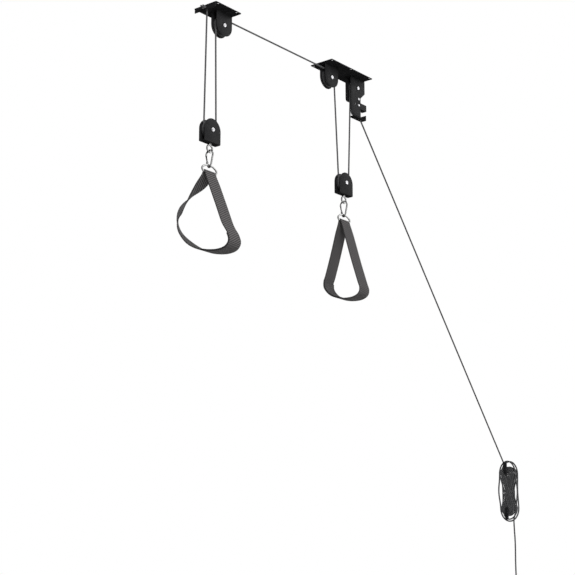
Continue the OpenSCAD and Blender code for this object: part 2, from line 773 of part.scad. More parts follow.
// Frame of the link's gate side: its Z runs up the slanting side from the lower tangent point
module gate_side() {
    translate([0, link_bottom_r*cos(side_a), link_bottom_mid_z - link_bottom_r*sin(side_a)])
        rotate([-side_a, 0, 0])
        children();
}
module pin_plate(x, t) {
    translate([x, 0, gate_pin_up])
        rotate([90, 0, 90])
        linear_extrude(t)
        children();
}
module snap_link(at) {
    stub_top = gate_pin_up - tongue_r - fork_gap;
    wire = concat(
        arc_across([0, link_top_mid_z], link_top_r, -side_a, 180 + side_a, bend_rings*2),
        arc_across([0, link_bottom_mid_z], link_bottom_r, 180 + side_a, 360 - side_a, bend_rings),
        [[0, link_bottom_r*cos(side_a) + stub_top*sin(side_a),
            link_bottom_mid_z - link_bottom_r*sin(side_a) + stub_top*cos(side_a)]]);
    color(chrome)
        under_block(at) {
            swept_tube(wire, wire_r, wire_sides, [1, 0, 0]);
            gate_side()
                pin_plate(-tongue_t/2, tongue_t)
                difference() {
                    union() {
                        circle(r = tongue_r);
                        translate([-tongue_r, -gate_pin_up/2]) square([2*tongue_r, gate_pin_up/2]);
                    }
                    circle(d = gate_pin_d + 2*press);
                }
        }
}
module snap_gate(at) {
    ear_in = tongue_t/2 + seat;
    ear_t = wire_r - ear_in;
    rod_bottom = gate_pin_up + tongue_r + fork_gap*2;
    color(chrome)
        under_block(at)
        gate_side() {
            translate([0, 0, rod_bottom])
                cylinder(d = gate_d, h = side_l - hang_gap - rod_bottom);
            for (x = [-wire_r, ear_in])
                pin_plate(x, ear_t)
                    difference() {
                        union() {
                            circle(r = tongue_r);
                            translate([-tongue_r, 0]) square([2*tongue_r, rod_bottom - gate_pin_up + tongue_r]);
                        }
                        circle(d = gate_pin_d + 2*fit);
                    }
        }
}
module gate_pin(at) {
    color(rivet_bright)
        under_block(at)
        gate_side()
        translate([-wire_r - seat, 0, gate_pin_up])
        rotate([0, 90, 0])
        cylinder(d = gate_pin_d, h = wire_d + 2*seat);
}

module d_ring(at) {
    wire = concat(
        arc_along([ring_corner_x, ring_corner_z], ring_corner_r, -90, ring_corner_a, bend_rings),
        arc_along([0, ring_top_mid_z], ring_top_r, ring_corner_a, 180 - ring_corner_a, bend_rings),
        arc_along([-ring_corner_x, ring_corner_z], ring_corner_r, 180 - ring_corner_a, 270, bend_rings));
    color(chrome)
        under_block(at)
        swept_ring([for (i = [0:len(wire) - 1]) if (i%(bend_rings + 1) > 0 || i == 0) wire[i]],
            wire_r, wire_sides, [0, 1, 0]);
}

// Slings: a band swept round a closed loop in the plane across the run

function bar_wrap() = [for (i = [0:bar_wrap_steps])
    [wrap_r*cos(180*i/bar_wrap_steps), wrap_r*sin(180*i/bar_wrap_steps), 0]];
function sling_route(shares, h) = concat(bar_wrap(), [for (s = shares) [s[0]*h, s[1]*h, s[2]]]);
function sling_rings(route, from_step, to_step) =
    let (n = len(route))
    [for (i = [from_step:to_step - 1]) for (k = [0:loop_steps - 1])
        curve_point(route[(i + n - 1)%n], route[i%n], route[(i + 1)%n], route[(i + 2)%n], k/loop_steps)];
function band_width(p, h) =
    let (s = min(1, norm([p[0], p[1]])/(web_spread_share*h)))
    web_ring_w + (web_w - web_ring_w)*ease(s);
function band_ring(p, run, h, lift) =
    let (t = unit([0, run[0], run[1]]), out = cross(t, [1, 0, 0]),
        wide = cos(p[2])*[1, 0, 0] + sin(p[2])*out, thick = cross(t, wide),
        w = band_width(p, h)/2, c = [0, p[0], p[1]] + lift*thick)
    [c - w*wide - web_t/2*thick, c + w*wide - web_t/2*thick,
     c + w*wide + web_t/2*thick, c - w*wide + web_t/2*thick];
function flat(v) = [for (a = v) each a];
function band_walls(from_ring, to_ring, n) = [for (i = [from_ring:to_ring]) for (k = [0:3])
    let (j = (i + 1)%n, a = i*4 + k, b = i*4 + (k + 1)%4, c = j*4 + k, d = j*4 + (k + 1)%4)
    each [[a, c, b], [b, c, d]]];

module sling_loop(route, h) {
    p = sling_rings(route, 0, len(route));
    n = len(p);
    rings = [for (i = [0:n - 1]) band_ring(p[i], p[(i + 1)%n] - p[(i + n - 1)%n], h, 0)];
    polyhedron(points = flat(rings), faces = band_walls(0, n - 1, n), convexity = 8);
}
// The doubled stretch where the webbing's end is sewn down, on the outside of the loop
module sling_overlap(route, h, steps) {
    p = sling_rings(route, steps[0], steps[1]);
    n = len(p);
    rings = [for (i = [1:n - 2]) band_ring(p[i], p[i + 1] - p[i - 1], h, -web_t*sewn_share)];
    m = n - 2;
    polyhedron(points = flat(rings),
        faces = concat(band_walls(0, m - 2, m), [[2, 1, 0], [3, 2, 0]],
            [for (f = [[0, 1, 2], [0, 2, 3]]) f + (m - 1)*4*[1, 1, 1]]), convexity = 4);
}
module strap(at, shares, h, overlap) {
    route = sling_route(shares, h);
    color(webbing_grey)
        under_block(at)
        translate([0, 0, bar_z]) {
            sling_loop(route, h);
            sling_overlap(route, h, overlap);
        }
}

// The two blocks

module front_block_cage() { block_cage(front_block_at); }
module front_block_axle() { cage_axle(front_block_at); }
module front_block_sheave() { grooved_wheel(front_block_at); }
module front_block_bush() { wheel_bush(front_block_at); }
module front_swivel_eye() { swivel_eye(front_block_at); }
module front_swivel_washer() { swivel_washer(front_block_at); }
module front_snap_link() { snap_link(front_block_at); }
module front_snap_gate() { snap_gate(front_block_at); }
module front_gate_pin() { gate_pin(front_block_at); }
module front_d_ring() { d_ring(front_block_at); }
module front_strap() { strap(front_block_at, front_sling_shares, front_sling_h, front_overlap); }
module rear_block_cage() { block_cage(rear_block_at); }
module rear_block_axle() { cage_axle(rear_block_at); }
module rear_block_sheave() { grooved_wheel(rear_block_at); }
module rear_block_bush() { wheel_bush(rear_block_at); }
module rear_swivel_eye() { swivel_eye(rear_block_at); }
module rear_swivel_washer() { swivel_washer(rear_block_at); }
module rear_snap_link() { snap_link(rear_block_at); }
module rear_snap_gate() { snap_gate(rear_block_at); }
module rear_gate_pin() { gate_pin(rear_block_at); }
module rear_d_ring() { d_ring(rear_block_at); }
module rear_strap() { strap(rear_block_at, rear_sling_shares, rear_sling_h, rear_overlap); }

// Rope, from the knot in the lip to the lock

// Stopper knot: a barrel of rope with a short end; its flat face looks along +X
module stopper_knot() {
    round_r = knot_d/4;
    rotate([0, -90, 0]) {
        cylinder(d = knot_d - 2*round_r, h = knot_l);
        for (z = [round_r, knot_l - round_r])
            translate([0, 0, z])
                rotate_extrude()
                translate([knot_d/2 - round_r, 0])
                circle(r = round_r);
        translate([0, 0, round_r]) cylinder(d = knot_d, h = knot_l - 2*round_r);
        cylinder(d = rope_d, h = knot_l + rope_d);
    }
}
module dead_end_knot() {
    color(rope_black)
        translate([knot_face_x, 0, -dead_rope_drop])
        stopper_knot();
}
module dead_end_bend() {
    color(rope_black)
        swept_tube(concat([for (x = [knot_face_x, (knot_face_x + dead_bend_x)/2]) [x, 0, -dead_rope_drop]],
            arc_along(dead_bend_at, lip_bend_r, 90, dead_a, bend_rings)), rope_r, held_sides, [0, 1, 0]);
}
module dead_fall() {
    color(rope_black)
        rope_run(on_circle(dead_bend_at, lip_bend_r, dead_a), on_circle(front_block_at, pulley_r, dead_a + 180));
}
module front_block_wrap() {
    color(rope_black)
        rope_bend(front_block_at, pulley_r, dead_a + 180, front_a + 540);
}
module front_fall() {
    color(rope_black)
        rope_run(on_circle(front_axle_at, pulley_r, front_a), on_circle(front_block_at, pulley_r, front_a + 180));
}
module ceiling_run() {
    color(rope_black)
        swept_tube(concat(arc_along(front_axle_at, pulley_r, front_a + 360, 90, bend_rings),
            arc_along(rear_axle_at, pulley_r, 90, rear_in_a, bend_rings)), rope_r, held_sides, [0, 1, 0]);
}
module rear_fall_in() {
    color(rope_black)
        rope_run(on_circle(rear_axle_at, pulley_r, rear_in_a), on_circle(rear_block_at, pulley_r, rear_in_a + 180));
}
module rear_block_wrap() {
    color(rope_black)
        rope_bend(rear_block_at, pulley_r, rear_in_a + 180, rear_out_a + 540);
}
module rear_fall_out() {
    color(rope_black)
        rope_run(on_circle(lock_axle_at, pulley_r, rear_out_a), on_circle(rear_block_at, pulley_r, rear_out_a + 180));
}
module lock_run() {
    color(rope_black)
        swept_tube(concat(arc_along(lock_axle_at, pulley_r, rear_out_a + 360, 0, 2*bend_rings),
            [[lock_rope_x, 0, lock_run_end_z]]), rope_r, held_sides, [0, 1, 0]);
}

// Rope, from the lock to its free end

cord_sides = 8;
module hand_line() {
    color(rope_black)
        swept_tube(hand_line_points, rope_r, cord_sides, [0, 1, 0]);
}
module rope_tail() {
    color(rope_black)
        swept_tube(rope_tail_points, rope_r, cord_sides, [0, 1, 0]);
}
module tail_knot() {
    color(rope_black)
        translate(rope_tail_points[len(rope_tail_points) - 1])
        rotate([0, -90, 0])
        stopper_knot();
}

// Figure of eight: each turn crosses to the lower neck, goes round it, crosses back one level
// nearer the wall and goes round the upper neck. Layers spiral in and out by turns.
function place_of(t) = let (k = t%turns) floor(t/turns)%2 == 0 ? turns - 1 - k : k;
function top_r(t) = inner_arch_r + pitch*place_of(t);
function bottom_r(t) = inner_arch_r + pitch*(turns - 1 - place_of(t));
function down_level(t) = top_level - 2*pitch*floor(t/turns);
function up_level(t) = down_level(t) - pitch;
function top_side(r, level, s) = [level, s*r*cos(cross_a), neck_z - r*sin(cross_a)];
function bottom_side(r, level, s) = [level, s*r*cos(cross_a), -neck_z + r*sin(cross_a)];
function straight(a, b, n) = [for (i = [0:n - 1]) a + (b - a)*i/n];
function arch(z, r1, r2, e1, e2, l1, l2, a1, a2, n, late) = [for (i = [0:n - 1])
    let (s = i/n, a = a1 + (a2 - a1)*s, m = late ? ease(2*s - 0.5) : ease(s),
        l = late ? ease(2*s - 0.5) : ease(s), r = r1 + (r2 - r1)*m, e = e1 + (e2 - e1)*m)
    [l1 + (l2 - l1)*l, r*cos(a), z + e*sin(a)]];
function layer_climb(t) = [for (i = [0:arch_rings - 1])
    let (s = i/arch_rings, a = 180 + cross_a - s*(180 + 2*cross_a),
        r = top_r(t) + (top_r(t + 1) - top_r(t))*ease(2*s - 0.5),
        l = (ease(4*s) + ease(4*s - 3))/2)
    [up_level(t) + (down_level(t + 1) - up_level(t))*l, r*cos(a), neck_z + r*sin(a)]];

function down_run(t) = straight(
    top_side(top_r(t), down_level(t), 1), bottom_side(bottom_r(t), down_level(t), -1), run_rings);
function up_run(t) = straight(
    bottom_side(bottom_r(t), up_level(t), 1), top_side(top_r(t), up_level(t), -1), run_rings);
function bottom_arch(t) = arch(-neck_z, bottom_r(t), bottom_r(t), bottom_r(t), bottom_r(t),
    down_level(t), up_level(t), 180 - cross_a, 360 + cross_a, arch_rings, false);
function top_arch(t) = (t + 1)%turns == 0 ? layer_climb(t) :
    arch(neck_z, top_r(t), top_r(t + 1), top_r(t), top_r(t + 1),
        up_level(t), down_level(t + 1), 180 + cross_a, -cross_a, arch_rings, true);
function crossed_turn(t) = concat(down_run(t), bottom_arch(t), up_run(t), top_arch(t));
function turn_out() = concat(down_run(last_turn),
    arch(-neck_z, bottom_r(last_turn), plain_turn_r, bottom_r(last_turn), plain_turn_reach,
        down_level(last_turn), plain_levels[0], 180 - cross_a, 360, arch_rings, false));

function plain_side(level, bow, s) = [for (i = [0:plain_run_rings - 1])
    let (z = s*neck_z*(2*i/plain_run_rings - 1))
    [level, s*(plain_turn_r + bow*(1 + cos(180*z/neck_z))/2), z]];
function plain_arch(z, l1, l2, a1, a2) = arch(z, plain_turn_r, plain_turn_r, plain_turn_reach,
    plain_turn_reach, l1, l2, a1, a2, plain_rings, false);
function plain_turn(i, bow) = concat(
    plain_side(plain_levels[i], bow, 1), plain_arch(neck_z, plain_levels[i], plain_levels[i], 0, 180),
    plain_side(plain_levels[i], bow, -1));
function way_in(n) =
    let (a = line_in + unit(line_run)*rope_d, b = top_side(top_r(0), top_level, 1),
        bow = neck_z*way_in_bow_share, ta = bow*unit(line_run),
        tb = bow*unit(bottom_side(bottom_r(0), top_level, -1) - b))
    [for (i = [0:n - 1]) let (s = i/n)
        (2*s*s*s - 3*s*s + 1)*a + (s*s*s - 2*s*s + s)*ta + (3*s*s - 2*s*s*s)*b + (s*s*s - s*s)*tb];
line_run = let (n = len(hand_line_points), d = hand_line_points[n - 1] - hand_line_points[n - 2])
    [-d[0], d[1], d[2]];
function way_out(n) = [for (i = [0:n])
    let (s = i/n) [plain_levels[1] + (tail_out[0] - plain_levels[1])*s, -plain_turn_r + (plain_turn_r + tail_out[1])*ease(s),
        -neck_z + (tail_out[2] + rope_d + neck_z)*s]];

winding = concat([line_in], way_in(way_in_rings),
    [for (t = [0:last_turn - 1]) each crossed_turn(t)], turn_out(),
    plain_turn(0, plain_bow_in), plain_arch(-neck_z, plain_levels[0], plain_levels[1], 180, 360),
    plain_turn(1, plain_bow_out), way_out(way_out_rings), [tail_out]);
cleat_z = -cleat_drop;
winding_points = [for (p = winding) [wall_x - p[0], p[1], cleat_z + p[2]]];

module cleat_winding() {
    color(rope_black)
        swept_tube(winding_points, rope_r, tube_sides, [1, 0, 0]);
}

// Least gap of the winding to itself, from each point to every stretch over two pitches away
function stretch_gap(p, a, b) =
    let (d = b - a, s = min(1, max(0, (p - a)*d/(d*d))))
    norm(p - a - s*d);
function along(p, i = 0, total = 0) =
    i + 1 < len(p) ? concat([total], along(p, i + 1, total + norm(p[i + 1] - p[i]))) : [total];
winding_at = along(winding);
winding_gap = min([for (i = [0:len(winding) - 1], j = [i + 1:len(winding) - 2])
    if (winding_at[j] - winding_at[i] > 3*pitch)
        stretch_gap(winding[i], winding[j], winding[j + 1])]) - rope_d;
echo(winding_gap = winding_gap, winding_length = winding_at[len(winding_at) - 1]);
echo(spring_gap = spring_gap);

// Wall cleat: a strip screwed to the wall, bent out into two necks and along into two horns

module wall_cleat() {
    base_l = 2*neck_z + cleat_t;
    horn_r = horn_w/2;
    bend_l = 2*cleat_t + neck_w/2;
    color(zinc)
        translate([wall_x, 0, cleat_z])
        difference() {
            union() {
                translate([-cleat_t, -cleat_base_w/2, -base_l/2 + bend_l])
                    cube([cleat_t, cleat_base_w, base_l - 2*bend_l]);
                translate([-cleat_t, -neck_w/2, -base_l/2]) cube([cleat_t, neck_w, base_l]);
                for (side = [0, 1])
                    mirror([0, 0, side]) {
                        translate([-horn_x - cleat_t, -neck_w/2, neck_z - cleat_t/2])
                            cube([horn_x + cleat_t, neck_w, cleat_t]);
                        translate([-horn_x - cleat_t, -neck_w/2, neck_z - cleat_t/2])
                            cube([cleat_t, neck_w, 2*cleat_t]);
                        translate([-horn_x - cleat_t, -horn_r, neck_z + cleat_t/2])
                            cube([cleat_t, horn_w, horn_z - horn_r - neck_z - cleat_t/2]);
                        translate([-horn_x - cleat_t, 0, horn_z - horn_r])
                            rotate([0, 90, 0])
                            cylinder(r = horn_r, h = cleat_t);
                    }
            }
            for (z = [-1, 1])
                translate([over, 0, z*cleat_screw_l/2])
                    rotate([0, -90, 0])
                    cylinder(d = cleat_screw_d, h = cleat_t + 2*over);
        }
}

front_plate();
front_cage();
front_axle();
front_sheave();
front_sheave_bush();
dead_end_knot();
dead_end_bend();
rear_plate();
rear_cage();
rear_axle();
rear_sheave();
rear_sheave_bush();
lock_cage();
lock_axle();
lock_sheave();
lock_sheave_bush();
lock_cam();
lock_cam_pin();
lock_spring();
lock_anvil();
lock_anvil_rivet();
front_block_cage();
front_block_axle();
front_block_sheave();
front_block_bush();
front_swivel_eye();
front_swivel_washer();
front_snap_link();
front_snap_gate();
front_gate_pin();
front_d_ring();
front_strap();
rear_block_cage();
rear_block_axle();
rear_block_sheave();
rear_block_bush();
rear_swivel_eye();
rear_swivel_washer();
rear_snap_link();
rear_snap_gate();
rear_gate_pin();
rear_d_ring();
rear_strap();
dead_fall();
front_block_wrap();
front_fall();
ceiling_run();
rear_fall_in();
rear_block_wrap();
rear_fall_out();
lock_run();
hand_line();
cleat_winding();
rope_tail();
tail_knot();
wall_cleat();
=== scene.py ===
# Ceiling hoist: the looks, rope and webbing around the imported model. Lengths are in metres.
import json
import math

import bmesh
import bpy
import numpy as np
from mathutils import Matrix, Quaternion, Vector

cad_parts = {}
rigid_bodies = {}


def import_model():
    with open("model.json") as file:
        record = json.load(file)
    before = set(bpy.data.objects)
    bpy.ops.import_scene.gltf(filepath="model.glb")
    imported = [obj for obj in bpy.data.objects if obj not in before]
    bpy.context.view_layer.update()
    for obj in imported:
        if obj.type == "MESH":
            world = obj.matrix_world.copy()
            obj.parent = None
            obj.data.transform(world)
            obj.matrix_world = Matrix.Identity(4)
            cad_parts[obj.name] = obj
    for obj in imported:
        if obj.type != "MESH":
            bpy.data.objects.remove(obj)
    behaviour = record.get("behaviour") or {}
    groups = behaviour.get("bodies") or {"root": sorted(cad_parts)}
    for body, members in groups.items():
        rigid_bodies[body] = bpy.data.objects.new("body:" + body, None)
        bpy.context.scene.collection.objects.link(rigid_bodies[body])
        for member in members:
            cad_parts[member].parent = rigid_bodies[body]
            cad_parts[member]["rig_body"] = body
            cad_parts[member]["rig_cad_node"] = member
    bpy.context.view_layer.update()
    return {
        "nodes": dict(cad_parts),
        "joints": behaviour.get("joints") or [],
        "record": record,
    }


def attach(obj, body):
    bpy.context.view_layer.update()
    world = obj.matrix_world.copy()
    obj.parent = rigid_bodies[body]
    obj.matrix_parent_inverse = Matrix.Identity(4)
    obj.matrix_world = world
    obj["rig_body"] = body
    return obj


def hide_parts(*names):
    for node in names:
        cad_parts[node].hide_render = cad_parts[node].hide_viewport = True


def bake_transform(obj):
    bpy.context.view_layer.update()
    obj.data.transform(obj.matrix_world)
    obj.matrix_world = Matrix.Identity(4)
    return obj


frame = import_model()
nodes = frame["nodes"]
pivot = {j["name"]: Vector(j["pos_m"]) for j in frame["joints"] if "pos_m" in j}

MM = 0.001

# Rope
ROPE_D = 0.005
ROPE_R = ROPE_D / 2
BRAID_STEP = 0.00125
BRAID_SIDES = 16
BRAID_RELIEF = 0.00011
KNOT_D = 0.013
KNOT_L = 0.012
KNOT_LAY = 1.04
KNOT_STEPS = 72
ARC_STEP_DEG = 3

# Pulleys and the rope's places, in the plane along the ceiling as (x, z)
PULLEY_R = 0.025
FRONT_AXLE = pivot["front_pulley_turn"].xz
REAR_AXLE = pivot["rear_pulley_turn"].xz
LOCK_AXLE = pivot["lock_pulley_turn"].xz
FRONT_BLOCK = pivot["front_block_pulley_turn"].xz
REAR_BLOCK = pivot["rear_block_pulley_turn"].xz
DEAD_BEND = Vector((-0.0535, -0.0165))
DEAD_BEND_R = 0.008
KNOT_FACE_X = -0.0543
CHEEK_OUT = 0.011
LOCK_FLOOR_TOP = -0.132

# Sheet metal and rivets
CAM_PIN = pivot["cam_release"].xz
FOLD_R = 0.0026
FOLD_STEPS = 6
NEAR = 0.0001
WELD = 0.000004
ROD_WELD = 0.00002
FLAT_ANGLE = math.radians(0.8)
SHARP_ANGLE = math.radians(35)
CREASE_ANGLE = math.radians(30)
SHEET_EASE = 0.0004
WHEEL_EASE = 0.0003
FINE_EASE = 0.0002
CAST_EASE = 0.0006
CLEAT_EASE = 0.0005
RIVET_H = 0.003
DOME_SHARE = 0.7
DIMPLE_RINGS = (0.28, 0.08)
DIMPLE_DEPTH = 0.22
AXLE_D = 0.008
AXLE_HEAD_D = 0.013
PIN_D = 0.006
PIN_HEAD_D = 0.009

# Hooks under a block, measured from the block's axle
WIRE_R = 0.0025
EYE_Z = -0.053
EYE_R = 0.0105
WEB_Z = -0.038
STEM_R = 0.0035
STEM_COLLAR_Z = WEB_Z - 0.0001
STEM_TOP_Z = WEB_Z + 0.0035
STEM_HEAD_R = 0.006
STEM_HEAD_Z = (WEB_Z + 0.0036, WEB_Z + 0.0075)
LINK_TOP_MID_Z = -0.0707
LINK_TOP_R = 0.0125
LINK_BOTTOM_MID_Z = -0.1015
LINK_BOTTOM_R = 0.0055
GATE_PIN_UP = 0.008
GATE_R = 0.0022
FORK_GAP = 0.0003
TONGUE_T = 0.002
RING_TOP_R = 0.0445
RING_CORNER_R = 0.007
RING_TOP_Z = -0.1017
BAR_Z = -0.123
ROD_SIDES = 24
BEND_MIN_STEPS = 6
BEND_STEP_DEG = 6
FORGING_VOXEL = 0.00035
FORGING_SMOOTHS = 6
ROUND_SIDES = 48

# Webbing
WEB_W = 0.05
WEB_RING_W = 0.044
WEB_T = 0.0025
FRONT_SLING_H = 0.234
REAR_SLING_H = 0.250
HANG_GAP = 0.0003
WRAP_R = WIRE_R + HANG_GAP + WEB_T / 2
TWILL_ACROSS = 0.011
TWILL_ALONG = 0.0065
TWILL_RELIEF = 0.00012
SELVEDGE_SHARE = 0.45
SPREAD_SHARE = 0.2
SEWN_SHARE = 0.96
WEB_COLUMNS = 44
WEB_STEP = 0.0012
FINE_STEPS = 24
BAR_WRAP_STEPS = 4
FRONT_OVERLAP = (9, 13)
REAR_OVERLAP = (12, 15)
STITCH_L = 0.0028
STITCH_R = 0.00035
STITCH_GAP = 0.0012
STITCH_SIDES = 6
STITCH_SPOTS = (0.14, 0.5, 0.86)
STITCH_LIFTS = (-0.2, 0.9, -0.2)
SEAM_LOW = 0.10
SEAM_HIGH = 0.90


# Camera and light

CAMERA_AT = Vector((-2.77007, -2.53693, -1.73748))
CAMERA_YAW = math.radians(39.454)
CAMERA_PITCH = math.radians(13.864)
CAMERA_LENS = 89.089
CAMERA_SENSOR = 36
VIEW_FAR_END = 50
VIEW_AHEAD = Vector((math.cos(CAMERA_PITCH) * math.cos(CAMERA_YAW),
                     math.cos(CAMERA_PITCH) * math.sin(CAMERA_YAW), math.sin(CAMERA_PITCH)))

BRIGHT_SIDE = Vector((0.2, -0.95, 0.25)).normalized()
AMBIENT_RAMP = [(0.25, 0.40), (0.85, 1.0)]
AMBIENT_STRENGTH = 0.55
PANEL_STRIPES = [
    (0.44, 0.02), (0.47, 0.5), (0.50, 0.02), (0.76, 0.02), (0.79, 1.0), (0.91, 1.0), (0.94, 0.06)]
PANEL_STRENGTH = 1.9
LIT_MIDDLE = (0.3, 0, -0.6)
SOFTBOXES = [
    ("key", (-1.2, -1.9, 0.5), (0.1, 0, -0.5), (1.2, 0.9), 95),
    ("fill", (1.9, -2.4, -0.4), LIT_MIDDLE, (0.8, 1.4), 14),
    ("low", (-0.9, -1.7, -2.3), LIT_MIDDLE, (1.0, 0.7), 30),
    ("back", (0.9, 2.6, 0.1), LIT_MIDDLE, (1.6, 1.2), 70)]
FLOOR_AT = (0.7, 0, -3.2)
FLOOR_SIZE = 9
FLOOR_WHITE = (0.95, 0.95, 0.95, 1)
FLOOR_ROUGHNESS = 0.9


def aim(obj, direction):
    obj.rotation_mode = "QUATERNION"
    obj.rotation_quaternion = direction.to_track_quat("-Z", "Y")


def add_camera():
    data = bpy.data.cameras.new("camera")
    data.sensor_width = CAMERA_SENSOR
    data.lens = CAMERA_LENS
    data.clip_end = VIEW_FAR_END
    camera = bpy.data.objects.new("camera", data)
    bpy.context.scene.collection.objects.link(camera)
    camera.location = CAMERA_AT
    aim(camera, VIEW_AHEAD)
    bpy.context.scene.camera = camera


def add_softbox(name, at, target, size, power):
    data = bpy.data.lights.new(name, "AREA")
    data.shape = "RECTANGLE"
    data.size = size[0]
    data.size_y = size[1]
    data.energy = power
    lamp = bpy.data.objects.new(name, data)
    bpy.context.scene.collection.objects.link(lamp)
    lamp.location = at
    lamp.visible_glossy = False
    aim(lamp, Vector(target) - Vector(at))


def set_ramp(ramp, stops):
    elements = ramp.color_ramp.elements
    while len(elements) < len(stops):
        elements.new(0.5)
    for element, (position, grey) in zip(elements, stops):
        element.position = position
        element.color = (grey, grey, grey, 1)


def add_studio():
    """White to the camera, soft ambient light on surfaces and striped panels in mirror images."""
    bpy.context.scene.view_settings.view_transform = "Standard"
    world = bpy.data.worlds.new("studio")
    bpy.context.scene.world = world
    world.use_nodes = True
    tree = world.node_tree
    tree.nodes.clear()
    out = tree.nodes.new("ShaderNodeOutputWorld")
    path = tree.nodes.new("ShaderNodeLightPath")
    place = tree.nodes.new("ShaderNodeTexCoord")
    mix, mirrored = (tree.nodes.new("ShaderNodeMixShader") for _ in range(2))
    seen, lit, panels = (tree.nodes.new("ShaderNodeBackground") for _ in range(3))
    ramp, stripes = (tree.nodes.new("ShaderNodeValToRGB") for _ in range(2))
    away = tree.nodes.new("ShaderNodeVectorMath")
    depth = tree.nodes.new("ShaderNodeMapRange")
    depth.inputs["From Min"].default_value = -1
    seen.inputs["Color"].default_value = (1, 1, 1, 1)
    seen.inputs["Strength"].default_value = 1
    set_ramp(ramp, AMBIENT_RAMP)
    set_ramp(stripes, PANEL_STRIPES)
    lit.inputs["Strength"].default_value = AMBIENT_STRENGTH
    panels.inputs["Strength"].default_value = PANEL_STRENGTH
    away.operation = "DOT_PRODUCT"
    away.inputs[1].default_value = BRIGHT_SIDE
    link = tree.links.new
    link(place.outputs["Generated"], away.inputs[0])
    link(away.outputs["Value"], depth.inputs["Value"])
    link(depth.outputs["Result"], ramp.inputs["Fac"])
    link(depth.outputs["Result"], stripes.inputs["Fac"])
    link(ramp.outputs["Color"], lit.inputs["Color"])
    link(stripes.outputs["Color"], panels.inputs["Color"])
    link(path.outputs["Is Glossy Ray"], mirrored.inputs["Fac"])
    link(lit.outputs[0], mirrored.inputs[1])
    link(panels.outputs[0], mirrored.inputs[2])
    link(path.outputs["Is Camera Ray"], mix.inputs["Fac"])
    link(mirrored.outputs[0], mix.inputs[1])
    link(seen.outputs[0], mix.inputs[2])
    link(mix.outputs[0], out.inputs["Surface"])
    for softbox in SOFTBOXES:
        add_softbox(*softbox)


def add_floor():
    """A plain pale floor far under the part, out of the camera's view."""
    bpy.ops.mesh.primitive_plane_add(size=FLOOR_SIZE, location=FLOOR_AT)
    floor = bpy.context.object
    floor.name = "floor"
    floor.visible_glossy = False
    paint = bpy.data.materials.new("pale_floor")
    paint.use_nodes = True
    look = paint.node_tree.nodes["Principled BSDF"]
    look.inputs["Base Color"].default_value = FLOOR_WHITE
    look.inputs["Roughness"].default_value = FLOOR_ROUGHNESS
    floor.data.materials.append(paint)


# Materials: a pair of colours is the dark and the light end of a mottle or a weave

WEAR_NOISE_SCALE = 260
WEAR_UNBROKEN = 0.35
NOISE_MIDDLE = (0.3, 0.7)
YARN_SHARE = 0.4
FADING = 0.35
SELVEDGE_DARKER = 0.75
PAINT = (0.006, 0.006, 0.0065, 1), (0.012, 0.012, 0.0125, 1)
PAINT_WORN = (0.06, 0.06, 0.063, 1)
NYLON = (0.012, 0.012, 0.013, 1), (0.022, 0.022, 0.023, 1)
ZINC_BRIGHT = (0.70, 0.70, 0.72, 1), (0.88, 0.88, 0.90, 1)
ZINC_DULL = (0.50, 0.51, 0.53, 1), (0.68, 0.69, 0.71, 1)
# Darker zinc, used only on the wall cleat
ZINC_DARKENED = (0.10, 0.10, 0.105, 1), (0.24, 0.24, 0.25, 1)
NICKEL = (0.50, 0.50, 0.50, 1), (0.66, 0.66, 0.655, 1)
STRANDS = (0.011, 0.011, 0.012, 1), (0.062, 0.062, 0.064, 1)
YARN = (0.005, 0.005, 0.005, 1), (0.092, 0.086, 0.087, 1)
THREAD = (0.02, 0.02, 0.021, 1), (0.05, 0.05, 0.052, 1)


def new_group(name, numbers, outputs):
    group = bpy.data.node_groups.new(name, "ShaderNodeTree")
    for label, value in numbers:
        socket = group.interface.new_socket(label, in_out="INPUT", socket_type="NodeSocketFloat")
        socket.default_value = value
    for label in outputs:
        group.interface.new_socket(label, in_out="OUTPUT", socket_type="NodeSocketFloat")
    start = group.nodes.new("NodeGroupInput")
    end = group.nodes.new("NodeGroupOutput")
    return group, start, end


def math_node(tree, operation, a, b=None, clamp=False):
    node = tree.nodes.new("ShaderNodeMath")
    node.operation = operation
    node.use_clamp = clamp
    for socket, value in zip(node.inputs, (a, b)):
        if value is None:
            continue
        if isinstance(value, (int, float)):
            socket.default_value = value
        else:
            tree.links.new(value, socket)
    return node.outputs[0]


def mix_colour(tree, fac, a, b):
    node = tree.nodes.new("ShaderNodeMix")
    node.data_type = "RGBA"
    for socket, value in ((node.inputs[0], fac), (node.inputs[6], a), (node.inputs[7], b)):
        if isinstance(value, bpy.types.NodeSocket):
            tree.links.new(value, socket)
        else:
            socket.default_value = value
    return node.outputs[2]


def edge_wear_group():
    """Light rubbed edges: where the rounded normal leaves the true one, broken up by noise."""
    group, start, end = new_group("edge_wear", [("Radius", 0.0006), ("Amount", 1.0)], ["Mask"])
    rounded = group.nodes.new("ShaderNodeBevel")
    rounded.samples = 4
    true = group.nodes.new("ShaderNodeNewGeometry")
    dot = group.nodes.new("ShaderNodeVectorMath")
    dot.operation = "DOT_PRODUCT"
    place = group.nodes.new("ShaderNodeTexCoord")
    noise = group.nodes.new("ShaderNodeTexNoise")
    noise.inputs["Scale"].default_value = WEAR_NOISE_SCALE
    noise.inputs["Detail"].default_value = 4
    link = group.links.new
    link(start.outputs["Radius"], rounded.inputs["Radius"])
    link(rounded.outputs[0], dot.inputs[0])
    link(true.outputs["Normal"], dot.inputs[1])
    link(place.outputs["Object"], noise.inputs["Vector"])
    bent = math_node(group, "SUBTRACT", 1.0, dot.outputs["Value"])
    broken = math_node(group, "SUBTRACT", noise.outputs["Fac"], WEAR_UNBROKEN)
    rubbed = math_node(group, "MULTIPLY", bent, broken)
    mask = math_node(group, "MULTIPLY", rubbed, start.outputs["Amount"], clamp=True)
    link(mask, end.inputs["Mask"])
    return group


